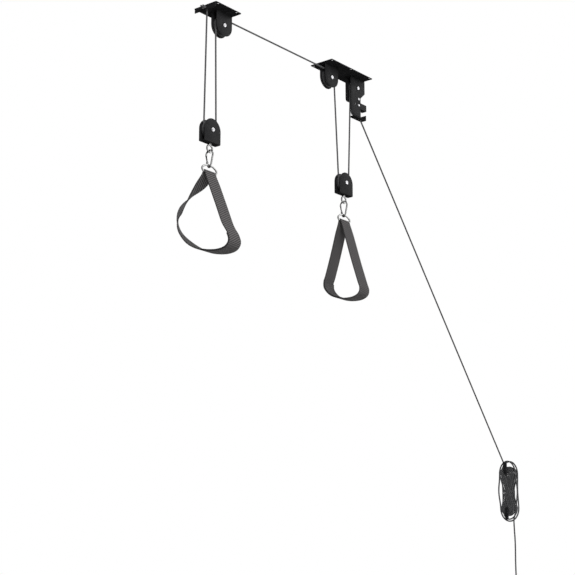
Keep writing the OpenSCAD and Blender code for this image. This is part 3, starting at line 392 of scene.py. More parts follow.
def grain_group():
    """Fine cast or sprayed grain: a height for bumps and a slow mottling for colour and gloss."""
    group, start, end = new_group("grain", [("Fine Scale", 900), ("Slow Scale", 60)], ["Height", "Mottle"])
    place = group.nodes.new("ShaderNodeTexCoord")
    for scale, output, detail in (("Fine Scale", "Height", 3), ("Slow Scale", "Mottle", 5)):
        noise = group.nodes.new("ShaderNodeTexNoise")
        noise.inputs["Detail"].default_value = detail
        group.links.new(place.outputs["Object"], noise.inputs["Vector"])
        group.links.new(start.outputs[scale], noise.inputs["Scale"])
        group.links.new(noise.outputs["Fac"], end.inputs[output])
    return group


def twill_group():
    """Diagonal weave on the piece's own UV map, in weave widths: a height and a light and dark mask."""
    group, start, end = new_group(
        "twill", [("Across", 1.0), ("Along", 1.0), ("Strand", 4.0)], ["Height", "Mask"])
    place = group.nodes.new("ShaderNodeTexCoord")
    split = group.nodes.new("ShaderNodeSeparateXYZ")
    group.links.new(place.outputs["UV"], split.inputs[0])
    across = math_node(group, "MULTIPLY", split.outputs["X"], start.outputs["Across"])
    along = math_node(group, "MULTIPLY", split.outputs["Y"], start.outputs["Along"])
    slant = math_node(group, "ADD", across, along)
    rib = math_node(group, "PINGPONG", slant, 0.5)
    fine = math_node(group, "MULTIPLY", slant, start.outputs["Strand"])
    counter = math_node(group, "SUBTRACT", across, along)
    yarn = math_node(group, "PINGPONG", math_node(group, "ADD", fine, counter), 0.5)
    height = math_node(group, "ADD", rib, math_node(group, "MULTIPLY", yarn, YARN_SHARE))
    group.links.new(height, end.inputs["Height"])
    group.links.new(math_node(group, "MULTIPLY", rib, 2.0, clamp=True), end.inputs["Mask"])
    return group


def placed(tree, group, **values):
    node = tree.nodes.new("ShaderNodeGroup")
    node.node_tree = group
    for label, value in values.items():
        node.inputs[label.replace("_", " ")].default_value = value
    return node


def new_material(name, roughness, metallic=0.0, sheen=0.0):
    material = bpy.data.materials.new(name)
    material.use_nodes = True
    look = material.node_tree.nodes["Principled BSDF"]
    look.inputs["Roughness"].default_value = roughness
    look.inputs["Metallic"].default_value = metallic
    look.inputs["Sheen Weight"].default_value = sheen
    return material, material.node_tree, look


def add_bump(tree, look, height, distance, strength):
    bump = tree.nodes.new("ShaderNodeBump")
    bump.inputs["Distance"].default_value = distance
    bump.inputs["Strength"].default_value = strength
    tree.links.new(height, bump.inputs["Height"])
    tree.links.new(bump.outputs["Normal"], look.inputs["Normal"])


def spread(tree, value, low, high):
    """Takes the middle stretch of a noise to the range from low to high."""
    node = tree.nodes.new("ShaderNodeMapRange")
    for label, limit in zip(("From Min", "From Max", "To Min", "To Max"), (*NOISE_MIDDLE, low, high)):
        node.inputs[label].default_value = limit
    tree.links.new(value, node.inputs["Value"])
    return node.outputs["Result"]


def powder_coat(groups):
    material, tree, look = new_material("black_powder_coat", 0.45)
    look.inputs["Specular IOR Level"].default_value = 0.1
    grain = placed(tree, groups["grain"], Fine_Scale=1100, Slow_Scale=45)
    wear = placed(tree, groups["edge_wear"], Radius=0.0007, Amount=2.2)
    paint = mix_colour(tree, grain.outputs["Mottle"], *PAINT)
    worn = mix_colour(tree, wear.outputs["Mask"], paint, PAINT_WORN)
    tree.links.new(worn, look.inputs["Base Color"])
    tree.links.new(spread(tree, grain.outputs["Mottle"], 0.38, 0.55), look.inputs["Roughness"])
    add_bump(tree, look, grain.outputs["Height"], 0.00012, 0.7)
    return material


def moulded_nylon(groups):
    material, tree, look = new_material("moulded_nylon", 0.5)
    grain = placed(tree, groups["grain"], Fine_Scale=1800, Slow_Scale=80)
    body = mix_colour(tree, grain.outputs["Mottle"], *NYLON)
    tree.links.new(body, look.inputs["Base Color"])
    tree.links.new(spread(tree, grain.outputs["Mottle"], 0.42, 0.6), look.inputs["Roughness"])
    add_bump(tree, look, grain.outputs["Height"], 0.00006, 0.5)
    return material


def bare_metal(groups, name, colours, rough, fine, slow, bump):
    material, tree, look = new_material(name, rough[0], metallic=1.0)
    grain = placed(tree, groups["grain"], Fine_Scale=fine, Slow_Scale=slow)
    body = mix_colour(tree, grain.outputs["Mottle"], *colours)
    tree.links.new(body, look.inputs["Base Color"])
    tree.links.new(spread(tree, grain.outputs["Mottle"], *rough), look.inputs["Roughness"])
    add_bump(tree, look, grain.outputs["Height"], bump, 0.5)
    return material


def braided_rope_look(groups):
    material, tree, look = new_material("braided_rope", 0.75, sheen=0.1)
    weave = placed(tree, groups["twill"], Across=8.0, Along=8.0, Strand=3.0)
    strands = mix_colour(tree, weave.outputs["Mask"], *STRANDS)
    tree.links.new(strands, look.inputs["Base Color"])
    add_bump(tree, look, weave.outputs["Height"], 0.00018, 0.8)
    return material


def woven_look(groups, name, dark, light):
    material, tree, look = new_material(name, 0.85, sheen=0.08)
    look.inputs["Specular IOR Level"].default_value = 0.25
    weave = placed(tree, groups["twill"], Across=WEB_W / TWILL_ACROSS, Along=WEB_W / TWILL_ALONG, Strand=5.0)
    grain = placed(tree, groups["grain"], Fine_Scale=2500, Slow_Scale=140)
    yarn = mix_colour(tree, weave.outputs["Mask"], dark, light)
    faded = mix_colour(tree, math_node(tree, "MULTIPLY", grain.outputs["Mottle"], FADING), yarn, dark)
    place = tree.nodes.new("ShaderNodeTexCoord")
    split = tree.nodes.new("ShaderNodeSeparateXYZ")
    tree.links.new(place.outputs["UV"], split.inputs[0])
    rim = math_node(tree, "GREATER_THAN", math_node(tree, "ABSOLUTE", split.outputs["X"]), SELVEDGE_SHARE)
    edged = mix_colour(tree, math_node(tree, "MULTIPLY", rim, SELVEDGE_DARKER), faded, dark)
    tree.links.new(edged, look.inputs["Base Color"])
    add_bump(tree, look, weave.outputs["Height"], 0.0003, 0.8)
    return material


def make_looks():
    groups = {"edge_wear": edge_wear_group(), "grain": grain_group(), "twill": twill_group()}
    return {
        "black_steel": powder_coat(groups),
        "pulley_plastic": moulded_nylon(groups),
        "bright_rivet": bare_metal(groups, "bright_zinc", ZINC_BRIGHT, (0.20, 0.36), 1500, 220, 0.00003),
        "zinc_steel": bare_metal(groups, "dull_zinc", ZINC_DULL, (0.32, 0.5), 1200, 120, 0.00004),
        "chrome_wire": bare_metal(groups, "polished_nickel", NICKEL, (0.06, 0.16), 900, 160, 0.00001),
        "dark_zinc": bare_metal(groups, "darkened_zinc", ZINC_DARKENED, (0.4, 0.6), 1200, 120, 0.00005),
        "rope": braided_rope_look(groups),
        "webbing": woven_look(groups, "grey_webbing", *YARN),
        "thread": woven_look(groups, "sewing_thread", *THREAD),
    }


add_camera()
add_studio()
add_floor()
looks = make_looks()


# Placing a finished piece

def give(piece, body, slot, *replaced, look=None):
    """Dresses a piece, makes it ride on its body and stand for the nodes that it replaces."""
    piece.data.materials.clear()
    piece.data.materials.append(looks[look or slot])
    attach(piece, body)
    if replaced:
        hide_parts(*replaced)
    return piece


def mesh_piece(name, points, faces, uvs):
    mesh = bpy.data.meshes.new(name)
    mesh.from_pydata([tuple(p) for p in points], [], faces)
    layer = mesh.uv_layers.new(name="UVMap")
    layer.data.foreach_set("uv", np.asarray(uvs, np.float32).ravel())
    mesh.update()
    mesh.shade_smooth()
    piece = bpy.data.objects.new(name, mesh)
    bpy.context.scene.collection.objects.link(piece)
    return piece


# Rope: a braided tube swept along points

def spaced(points, step):
    """The same line as points a step apart, both ends kept."""
    line = np.array([tuple(p) for p in points], float)
    lengths = np.linalg.norm(np.diff(line, axis=0), axis=1)
    at = np.concatenate([[0], np.cumsum(lengths)])
    count = max(2, int(round(at[-1] / step)) + 1)
    want = np.linspace(0, at[-1], count)
    return np.stack([np.interp(want, at, line[:, i]) for i in range(3)], 1), at[-1]


def carried_frames(line):
    """Two directions across a line that turn with it and never spin."""
    ahead = np.gradient(line, axis=0)
    ahead /= np.linalg.norm(ahead, axis=1)[:, None]
    across = np.empty_like(line)
    first = np.cross(ahead[0], (0, 1, 0))
    if np.linalg.norm(first) < 0.1:
        first = np.cross(ahead[0], (1, 0, 0))
    across[0] = first / np.linalg.norm(first)
    for i in range(1, len(line)):
        v = across[i - 1] - ahead[i] * (across[i - 1] @ ahead[i])
        across[i] = v / np.linalg.norm(v)
    return across, np.cross(ahead, across)


def capped(quads, uvs, rings, sides):
    """Faces of an open tube and their UV corners, with both ends closed."""
    ends = [list(range(sides))[::-1], [(rings - 1) * sides + s for s in range(sides)]]
    return quads.tolist() + ends, np.concatenate([uvs, np.zeros((2 * sides, 2))])


def tube_mesh(name, line, radii, uv_along=1.0):
    """Quads between rings of radii (rings by sides) round a line, with flat caps on its ends."""
    rings, sides = radii.shape
    across, up = carried_frames(line)
    angle = (2 * np.pi * np.arange(sides) / sides)[:, None]
    points = (line[:, None, :] + radii[..., None] * (
        np.cos(angle) * across[:, None, :] + np.sin(angle) * up[:, None, :]))
    i, k = np.meshgrid(np.arange(rings - 1), np.arange(sides), indexing="ij")
    j, m = i + 1, (k + 1) % sides
    quads = np.stack([i * sides + k, i * sides + m, j * sides + m, j * sides + k], -1).reshape(-1, 4)
    step = np.linalg.norm(line[1] - line[0]) * uv_along
    u, v = k / sides, i * step
    uvs = np.stack([np.stack([u, v], -1), np.stack([u + 1 / sides, v], -1),
                    np.stack([u + 1 / sides, v + step], -1), np.stack([u, v + step], -1)], 2).reshape(-1, 2)
    faces, uvs = capped(quads, uvs, rings, sides)
    return mesh_piece(name, points.reshape(-1, 3), faces, uvs)


def braided(name, points):
    """Rope whose strands stand up in turn round it, as a plait's do."""
    line, length = spaced(points, BRAID_STEP)
    i, k = np.meshgrid(np.arange(len(line)), np.arange(BRAID_SIDES), indexing="ij")
    radii = ROPE_R - BRAID_RELIEF + BRAID_RELIEF * np.where((i + k) % 2 == 0, 1.0, -1.0)
    return tube_mesh(name, line, radii, uv_along=1 / (2 * np.pi * ROPE_R)), length


def tangent_angle(c1, c2, r1, r2, side):
    d = c2 - c1
    return math.degrees(math.atan2(d.y, d.x)) + side * math.degrees(math.acos((r1 + r2) / d.length))


def on_circle(c, r, a):
    return Vector((c.x + r * math.cos(math.radians(a)), 0, c.y + r * math.sin(math.radians(a))))


def arc(c, r, a1, a2):
    count = max(2, int(abs(a2 - a1) / ARC_STEP_DEG))
    return [on_circle(c, r, a1 + (a2 - a1) * i / count) for i in range(count + 1)]


dead_a = tangent_angle(DEAD_BEND, FRONT_BLOCK, DEAD_BEND_R, PULLEY_R, 1)
front_a = tangent_angle(FRONT_AXLE, FRONT_BLOCK, PULLEY_R, PULLEY_R, -1)
rear_in_a = tangent_angle(REAR_AXLE, REAR_BLOCK, PULLEY_R, PULLEY_R, 1)
rear_out_a = tangent_angle(LOCK_AXLE, REAR_BLOCK, PULLEY_R, PULLEY_R, -1)


def held_rope(name, body, points):
    piece, _ = braided(name, points)
    give(piece, body, "rope", name)


def rope_fall(name, top, bottom):
    piece, _ = braided(name, [top, bottom])
    piece.data.materials.append(looks["rope"])
    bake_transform(piece)
    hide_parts(name)


def stopper_knot(name, body, at, along, replaced):
    """A turn and a third of rope round itself, with its short end through it."""
    coil_r = (KNOT_D - ROPE_D) / 2
    ahead = Vector(along).normalized()
    side = ahead.orthogonal().normalized()
    up = ahead.cross(side)
    points = []
    turns = (KNOT_L - ROPE_D) / (ROPE_D * KNOT_LAY)
    for i in range(KNOT_STEPS + 1):
        a = 2 * math.pi * turns * i / KNOT_STEPS
        d = ROPE_R + (KNOT_L - ROPE_D) * i / KNOT_STEPS
        points.append(at + ahead * d + coil_r * (math.cos(a) * side + math.sin(a) * up))
    coil, _ = braided(name, points)
    core, _ = braided(name + "_core", [at, at + ahead * (KNOT_L + ROPE_D)])
    join([coil, core])
    return give(coil, body, "rope", *replaced)


def deselect():
    bpy.ops.object.select_all(action="DESELECT")


def join(pieces):
    deselect()
    for piece in pieces:
        piece.select_set(True)
    bpy.context.view_layer.objects.active = pieces[0]
    bpy.ops.object.join()
    return pieces[0]


# Rope from the lock to its free end. These points are the same as the part's own.

HAND_LINE = [
    (676.5, 0, -127), (676.8, 0, -130), (677.6, 0, -133), (679.3, 0, -136),
    (760.9, 1, -236.8), (842.5, 2, -337.6), (924.1, 3, -438.4), (1005.6, 4, -539.2),
    (1087.2, 5, -640), (1168.8, 6, -740.8), (1250.4, 7, -841.6), (1331.9, 8, -942.4),
    (1413.4, 9, -1043.2), (1491.9, 9.9, -1140.1), (1495, 10, -1144)]
ROPE_TAIL = [
    (1504.3, -19, -1351), (1504.3, -19, -1357), (1504.4, -19.5, -1380), (1504.4, -20.5, -1405),
    (1504, -21, -1430), (1504, -20.5, -1455), (1504.5, -19.5, -1480), (1505, -19, -1505),
    (1505, -19, -1530), (1505, -19, -1549), (1505, -19, -1555)]
ROUTE_STEPS = 12

# Wall cleat and the figure of eight on it, in millimetres from the wall's face and the cleat's middle
WALL_X = 1531
CLEAT_Z = -1245
NECK_Z = 58
INNER_ARCH_R = 6.5
TURN_PITCH = 6.05
LOW_LEVEL = 5.5
TURNS = 4
LAYERS = 3
PLAIN_R = 31
PLAIN_REACH = 44
PLAIN_BOWS = (-2, 5.5)
PLAIN_LAYERS = (1, 3.5)
WAY_IN_BOW = 0.78 * NECK_Z
WAY_IN_STEPS = 24
WAY_OUT_STEPS = 18
LINE_IN = (36, 10, 101)
TAIL_OUT = (26.7, -19, -106)
TOP_LEVEL = LOW_LEVEL + TURN_PITCH * (2 * LAYERS - 1)
PLAIN_LEVELS = [LOW_LEVEL + layer * TURN_PITCH for layer in PLAIN_LAYERS]
CROSS_A = math.asin((2 * INNER_ARCH_R + (TURNS - 1) * TURN_PITCH) / (2 * NECK_Z))
ARCH_STEPS = 30
RUN_STEPS = 10
LAST_TURN = TURNS * LAYERS - 1


def ease(s):
    t = min(1, max(0, s))
    return t * t * (3 - 2 * t)


def place_of(t):
    k = t % TURNS
    return TURNS - 1 - k if (t // TURNS) % 2 == 0 else k


def top_r(t):
    return INNER_ARCH_R + TURN_PITCH * place_of(t)


def bottom_r(t):
    return INNER_ARCH_R + TURN_PITCH * (TURNS - 1 - place_of(t))


def down_level(t):
    return TOP_LEVEL - 2 * TURN_PITCH * (t // TURNS)


def up_level(t):
    return down_level(t) - TURN_PITCH


def top_side(r, level, s):
    return np.array((level, s * r * math.cos(CROSS_A), NECK_Z - r * math.sin(CROSS_A)))


def bottom_side(r, level, s):
    return np.array((level, s * r * math.cos(CROSS_A), -NECK_Z + r * math.sin(CROSS_A)))


def straight(a, b):
    return [a + (b - a) * i / RUN_STEPS for i in range(RUN_STEPS)]


def arch(z, r1, r2, e1, e2, l1, l2, a1, a2, late=False):
    """Round a neck: radius, reach and level pass from the first to the second while the angle runs."""
    points = []
    for i in range(ARCH_STEPS):
        s = i / ARCH_STEPS
        a = a1 + (a2 - a1) * s
        m = ease(2 * s - 0.5) if late else ease(s)
        r, e = r1 + (r2 - r1) * m, e1 + (e2 - e1) * m
        points.append(np.array((l1 + (l2 - l1) * m, r * math.cos(a), z + e * math.sin(a))))
    return points


def layer_climb(t):
    points = []
    for i in range(ARCH_STEPS):
        s = i / ARCH_STEPS
        a = math.pi + CROSS_A - s * (math.pi + 2 * CROSS_A)
        r = top_r(t) + (top_r(t + 1) - top_r(t)) * ease(2 * s - 0.5)
        climb = (ease(4 * s) + ease(4 * s - 3)) / 2
        level = up_level(t) + (down_level(t + 1) - up_level(t)) * climb
        points.append(np.array((level, r * math.cos(a), NECK_Z + r * math.sin(a))))
    return points


def down_run(t):
    return straight(top_side(top_r(t), down_level(t), 1), bottom_side(bottom_r(t), down_level(t), -1))


def up_run(t):
    return straight(bottom_side(bottom_r(t), up_level(t), 1), top_side(top_r(t), up_level(t), -1))


def crossed_turn(t):
    bottom = arch(-NECK_Z, bottom_r(t), bottom_r(t), bottom_r(t), bottom_r(t), down_level(t), up_level(t),
                  math.pi - CROSS_A, 2 * math.pi + CROSS_A)
    if (t + 1) % TURNS == 0:
        top = layer_climb(t)
    else:
        top = arch(NECK_Z, top_r(t), top_r(t + 1), top_r(t), top_r(t + 1), up_level(t), down_level(t + 1),
                   math.pi + CROSS_A, -CROSS_A, late=True)
    return down_run(t) + bottom + up_run(t) + top


def turn_out():
    r = bottom_r(LAST_TURN)
    return down_run(LAST_TURN) + arch(
        -NECK_Z, r, PLAIN_R, r, PLAIN_REACH, down_level(LAST_TURN), PLAIN_LEVELS[0],
        math.pi - CROSS_A, 2 * math.pi)


def plain_side(level, bow, s):
    points = []
    for i in range(RUN_STEPS):
        z = s * NECK_Z * (2 * i / RUN_STEPS - 1)
        points.append(np.array((level, s * (PLAIN_R + bow * (1 + math.cos(math.pi * z / NECK_Z)) / 2), z)))
    return points


def plain_arch(z, l1, l2, a1, a2):
    return arch(z, PLAIN_R, PLAIN_R, PLAIN_REACH, PLAIN_REACH, l1, l2, a1, a2)


def plain_turn(i):
    level = PLAIN_LEVELS[i]
    return (plain_side(level, PLAIN_BOWS[i], 1) + plain_arch(NECK_Z, level, level, 0, math.pi)
            + plain_side(level, PLAIN_BOWS[i], -1))


def way_in():
    """From the hand line into the first crossing turn, with both headings kept."""
    run = np.array(HAND_LINE[-1], float) - np.array(HAND_LINE[-2], float)
    run[0] = -run[0]
    run /= np.linalg.norm(run)
    a, ta = np.array(LINE_IN) + run * ROPE_D / MM, run * WAY_IN_BOW
    b = top_side(top_r(0), TOP_LEVEL, 1)
    tb = bottom_side(bottom_r(0), TOP_LEVEL, -1) - b
    tb *= WAY_IN_BOW / np.linalg.norm(tb)
    points = []
    for i in range(WAY_IN_STEPS):
        s = i / WAY_IN_STEPS
        points.append((2 * s**3 - 3 * s**2 + 1) * a + (s**3 - 2 * s**2 + s) * ta
                      + (3 * s**2 - 2 * s**3) * b + (s**3 - s**2) * tb)
    return points


def way_out():
    points = []
    for i in range(WAY_OUT_STEPS + 1):
        s = i / WAY_OUT_STEPS
        points.append(np.array((PLAIN_LEVELS[1] + (TAIL_OUT[0] - PLAIN_LEVELS[1]) * s,
                                -PLAIN_R + (PLAIN_R + TAIL_OUT[1]) * ease(s),
                                -NECK_Z + (TAIL_OUT[2] + ROPE_D / MM + NECK_Z) * s)))
    return points


def winding_points():
    points = [np.array(LINE_IN, float)] + way_in()
    for t in range(LAST_TURN):
        points += crossed_turn(t)
    points += turn_out() + plain_turn(0)
    points += plain_arch(-NECK_Z, PLAIN_LEVELS[0], PLAIN_LEVELS[1], math.pi, 2 * math.pi)
    points += plain_turn(1) + way_out() + [np.array(TAIL_OUT, float)]
    return [((WALL_X - p[0]) * MM, p[1] * MM, (CLEAT_Z + p[2]) * MM) for p in points]


def between(p0, p1, p2, p3, steps):
    """Points of a smooth curve from p1 up to p2, on its way from p0 to p3."""
    return [(2 * p1 + (p2 - p0) * s + (2 * p0 - 5 * p1 + 4 * p2 - p3) * s * s
             + (3 * p1 - p0 - 3 * p2 + p3) * s**3) / 2 for s in (k / steps for k in range(steps))]


def rounded_route(points):
    """A smooth curve through the listed points, in metres."""
    p = np.array(points, float) * MM
    p = np.concatenate([[2 * p[0] - p[1]], p, [2 * p[-1] - p[-2]]])
    line = []
    for i in range(1, len(p) - 2):
        line += between(*p[i - 1:i + 3], ROUTE_STEPS)
    line.append(p[-2])
    return line


def free_rope(name, points):
    piece, length = braided(name, points)
    give(piece, "hoist_frame", "rope", name)


def add_rope():
    knot_z = DEAD_BEND.y + DEAD_BEND_R
    dead_end = [Vector((KNOT_FACE_X, 0, knot_z))] + arc(DEAD_BEND, DEAD_BEND_R, 90, dead_a)
    held_rope("dead_end_bend", "hoist_frame", dead_end)
    stopper_knot("dead_end_stopper", "hoist_frame", dead_end[0], (-1, 0, 0), ["dead_end_knot"])
    rope_fall("dead_fall", on_circle(DEAD_BEND, DEAD_BEND_R, dead_a),
              on_circle(FRONT_BLOCK, PULLEY_R, dead_a + 180))
    held_rope("front_block_wrap", "front_block", arc(FRONT_BLOCK, PULLEY_R, dead_a + 180, front_a + 540))
    rope_fall("front_fall", on_circle(FRONT_AXLE, PULLEY_R, front_a),
              on_circle(FRONT_BLOCK, PULLEY_R, front_a + 180))
    held_rope("ceiling_run", "hoist_frame", arc(FRONT_AXLE, PULLEY_R, front_a + 360, 90)
              + arc(REAR_AXLE, PULLEY_R, 90, rear_in_a))
    rope_fall("rear_fall_in", on_circle(REAR_AXLE, PULLEY_R, rear_in_a),
              on_circle(REAR_BLOCK, PULLEY_R, rear_in_a + 180))
    held_rope("rear_block_wrap", "rear_block", arc(REAR_BLOCK, PULLEY_R, rear_in_a + 180, rear_out_a + 540))
    rope_fall("rear_fall_out", on_circle(LOCK_AXLE, PULLEY_R, rear_out_a),
              on_circle(REAR_BLOCK, PULLEY_R, rear_out_a + 180))
    held_rope("lock_run", "hoist_frame", arc(LOCK_AXLE, PULLEY_R, rear_out_a + 360, 0)
              + [Vector((LOCK_AXLE.x + PULLEY_R, 0, LOCK_FLOOR_TOP + ROPE_D))])
    free_rope("hand_line", rounded_route(HAND_LINE))
    free_rope("cleat_winding", winding_points())
    tail = rounded_route(ROPE_TAIL)
    knot = stopper_knot("tail_stopper", "hoist_frame", Vector(tail[-1]), (0, 0, -1), ["tail_knot"])
    free_rope("rope_tail", tail)


add_rope()


# Slings: webbing swept round a closed loop across the run, as shares of the sling's height.
# These shares are the same as the part's own: away, up, and twist in degrees.

FRONT_SHARES = [
    (-0.038, -0.064, 0), (-0.111, -0.239, 0), (-0.209, -0.470, 0), (-0.299, -0.684, 0),
    (-0.385, -0.821, 0), (-0.410, -0.923, 0), (-0.340, -0.991, 0), (-0.180, -1.000, 0),
    (0.040, -0.950, 0), (0.235, -0.850, 0), (0.385, -0.720, 12), (0.470, -0.600, 30),
    (0.497, -0.482, 50), (0.452, -0.375, 60), (0.330, -0.272, 42), (0.162, -0.154, 12),
    (0.043, -0.047, 0)]
REAR_SHARES = [
    (-0.036, -0.060, 0), (-0.100, -0.272, 0), (-0.180, -0.540, 0), (-0.264, -0.800, 0),
    (-0.296, -0.904, 0), (-0.264, -0.972, 0), (-0.160, -1.000, 0), (0.000, -0.984, 0),
    (0.144, -0.928, 0), (0.236, -0.832, 0), (0.248, -0.744, 0), (0.216, -0.660, 0),
    (0.136, -0.420, 0), (0.056, -0.152, 0), (0.028, -0.048, 0)]


def sling_route(shares, height):
    angles = [math.pi * i / BAR_WRAP_STEPS for i in range(BAR_WRAP_STEPS + 1)]
    wrap = [(WRAP_R * math.cos(a), WRAP_R * math.sin(a), 0) for a in angles]
    return np.array(wrap + [(a * height, b * height, c) for a, b, c in shares])


def route_points(route, first, last):
    line = []
    for i in range(first, last):
        line += between(*(route[(i + k) % len(route)] for k in (-1, 0, 1, 2)), FINE_STEPS)
    return np.array(line)


def even_steps(line, closed):
    looped = np.concatenate([line, line[:1]]) if closed else line
    lengths = np.linalg.norm(np.diff(looped[:, :2], axis=0), axis=1)
    at = np.concatenate([[0], np.cumsum(lengths)])
    count = int(round(at[-1] / WEB_STEP))
    want = np.linspace(0, at[-1], count, endpoint=not closed)
    return np.stack([np.interp(want, at, looped[:, i]) for i in range(3)], 1), at[-1]


def band_sections(line, height, closed, lift, relief):
    """Points of each cross-section: out along the webbing's face and back along the other."""
    n = len(line)
    if closed:
        run = np.roll(line, -1, 0)[:, :2] - np.roll(line, 1, 0)[:, :2]
    else:
        run = np.gradient(line[:, :2], axis=0)
    run /= np.linalg.norm(run, axis=1)[:, None]
    ahead = np.stack([np.zeros(n), run[:, 0], run[:, 1]], 1)
    out = np.cross(ahead, (1, 0, 0))
    twist = np.radians(line[:, 2])[:, None]
    wide = np.cos(twist) * np.array((1.0, 0, 0)) + np.sin(twist) * out
    thick = np.cross(ahead, wide)
    near = np.clip(np.linalg.norm(line[:, :2], axis=1) / (SPREAD_SHARE * height), 0, 1)
    width = WEB_RING_W + (WEB_W - WEB_RING_W) * near * near * (3 - 2 * near)
    share = np.linspace(-1, 1, WEB_COLUMNS + 1)
    across = share[None, :] * width[:, None] / 2
    rim = np.clip((np.abs(across) - (width[:, None] / 2 - WEB_T / 2)) / (WEB_T / 2), 0, 1)
    half = WEB_T / 2 * np.sqrt(1 - rim**2)
    along = np.cumsum(np.concatenate([[0], np.linalg.norm(np.diff(line[:, :2], axis=0), axis=1)]))[:, None]
    slope = across / TWILL_ACROSS + along / TWILL_ALONG
    twill = relief * np.sin(2 * np.pi * slope) * (1 - rim)
    middle = np.stack([np.zeros(n), line[:, 0], line[:, 1]], 1) + lift * thick
    face = middle[:, None] + across[..., None] * wide[:, None] - (half + twill)[..., None] * thick[:, None]
    back = middle[:, None] + across[..., None] * wide[:, None] + (half + twill)[..., None] * thick[:, None]
    section = np.concatenate([face, back[:, ::-1][:, 1:-1]], 1)
    u = np.concatenate([across, across[:, ::-1][:, 1:-1]], 1)
    return section, u, along


def band_mesh(name, section, u, along, closed, length):
    """Webbing as a mesh from its sections, with a UV map in webbing widths."""
    rings, sides = u.shape
    last = rings if closed else rings - 1
    i, k = np.meshgrid(np.arange(last), np.arange(sides), indexing="ij")
    j, m = (i + 1) % rings, (k + 1) % sides
    quads = np.stack([i * sides + k, j * sides + k, j * sides + m, i * sides + m], -1).reshape(-1, 4)
    v = np.concatenate([along[:, 0], [length]])[: last + 1] / WEB_W
    corner = [(u[i, k], v[i]), (u[j, k], v[i + 1]), (u[j, m], v[i + 1]), (u[i, m], v[i])]
    uvs = np.stack([np.stack([a / WEB_W, b], -1) for a, b in corner], 2).reshape(-1, 2)
    faces = quads.tolist()
    if not closed:
        faces, uvs = capped(quads, uvs, rings, sides)
    piece = mesh_piece(name, section.reshape(-1, 3), faces, uvs)
    outward(piece)
    return piece


def outward(piece):
    """Turns a closed mesh's faces outwards."""
    shape = bmesh.new()
    shape.from_mesh(piece.data)
    if shape.calc_volume(signed=True) < 0:
        bmesh.ops.reverse_faces(shape, faces=shape.faces)
    shape.to_mesh(piece.data)
    shape.free()


def add_sling(side, block, shares, height, overlap):
    route = sling_route(shares, height)
    bar = Vector((block.x, 0, block.y + BAR_Z))
    whole, length = even_steps(route_points(route, 0, len(route)), True)
    section, u, along = band_sections(whole, height, True, 0, TWILL_RELIEF)
    section += np.array(bar)
    strap = band_mesh(side + "_webbing", section, u, along, True, length)
    give(strap, side + "_sling", "webbing", side + "_strap")
    ends, doubled = even_steps(route_points(route, *overlap), False)
    section, u, along = band_sections(ends, height, False, -WEB_T * SEWN_SHARE, TWILL_RELIEF)
    section += np.array(bar)
    flap = band_mesh(side + "_webbing_end", section, u, along, False, doubled)
    give(flap, side + "_sling", "webbing")
    stitches = add_stitches(side, ends, height, bar)


def add_stitches(side, ends, height, bar):
    """A box of stitches with a cross in it, on the outside of the doubled stretch."""
    section = band_sections(ends, height, False, -WEB_T * SEWN_SHARE, 0)[0]
    face = section[:, :WEB_COLUMNS + 1]
    rows, columns = face.shape[:2]

    def spot(across, ahead):
        row = min(rows - 2, max(1, ahead * (rows - 1)))
        column = across * (columns - 1)
        i, k = int(row), min(columns - 2, int(column))
        a, b = row - i, column - k
        point = ((1 - a) * ((1 - b) * face[i, k] + b * face[i, k + 1])
                 + a * ((1 - b) * face[i + 1, k] + b * face[i + 1, k + 1]))
        normal = np.cross(face[i + 1, k] - face[i, k], face[i, k + 1] - face[i, k])
        return point, normal / np.linalg.norm(normal)

    corners = [(SEAM_LOW, SEAM_LOW), (SEAM_HIGH, SEAM_LOW), (SEAM_HIGH, SEAM_HIGH), (SEAM_LOW, SEAM_HIGH)]
    lines = [(corners[i], corners[(i + 1) % 4]) for i in range(4)]
    lines += [(corners[0], corners[2]), (corners[1], corners[3])]
    seams = []
    for start, end in lines:
        a, b = spot(*start)[0], spot(*end)[0]
        count = max(3, int(np.linalg.norm(b - a) / (STITCH_L + STITCH_GAP)))
        for i in range(count):
            shares = [(i + s) / count for s in STITCH_SPOTS]
            spots = [spot(start[0] + (end[0] - start[0]) * s, start[1] + (end[1] - start[1]) * s)
                     for s in shares]
            line = np.array([p + n * STITCH_R * lift for (p, n), lift in zip(spots, STITCH_LIFTS)])
            seams.append(line + np.array(bar))
    radii = np.full((len(STITCH_SPOTS), STITCH_SIDES), STITCH_R)
    stitches = join([tube_mesh(f"{side}_stitch_{i}", line, radii) for i, line in enumerate(seams)])
    stitches.name = side + "_stitches"
    return give(stitches, side + "_sling", "webbing", look="thread")


add_sling("front", FRONT_BLOCK, FRONT_SHARES, FRONT_SLING_H, FRONT_OVERLAP)
add_sling("rear", REAR_BLOCK, REAR_SHARES, REAR_SLING_H, REAR_OVERLAP)


# Sheet metal, wheels and small parts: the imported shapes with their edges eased

def on_bottom_fold(edge, z):
    """Whether an edge runs along a folded sheet's outer corner at the height z."""
    a, b = (corner.co for corner in edge.verts)
    return (abs(a.z - z) < NEAR and abs(b.z - z) < NEAR and abs(abs(a.y) - CHEEK_OUT) < NEAR
            and abs(abs(b.y) - CHEEK_OUT) < NEAR and abs(a.y - b.y) < NEAR)


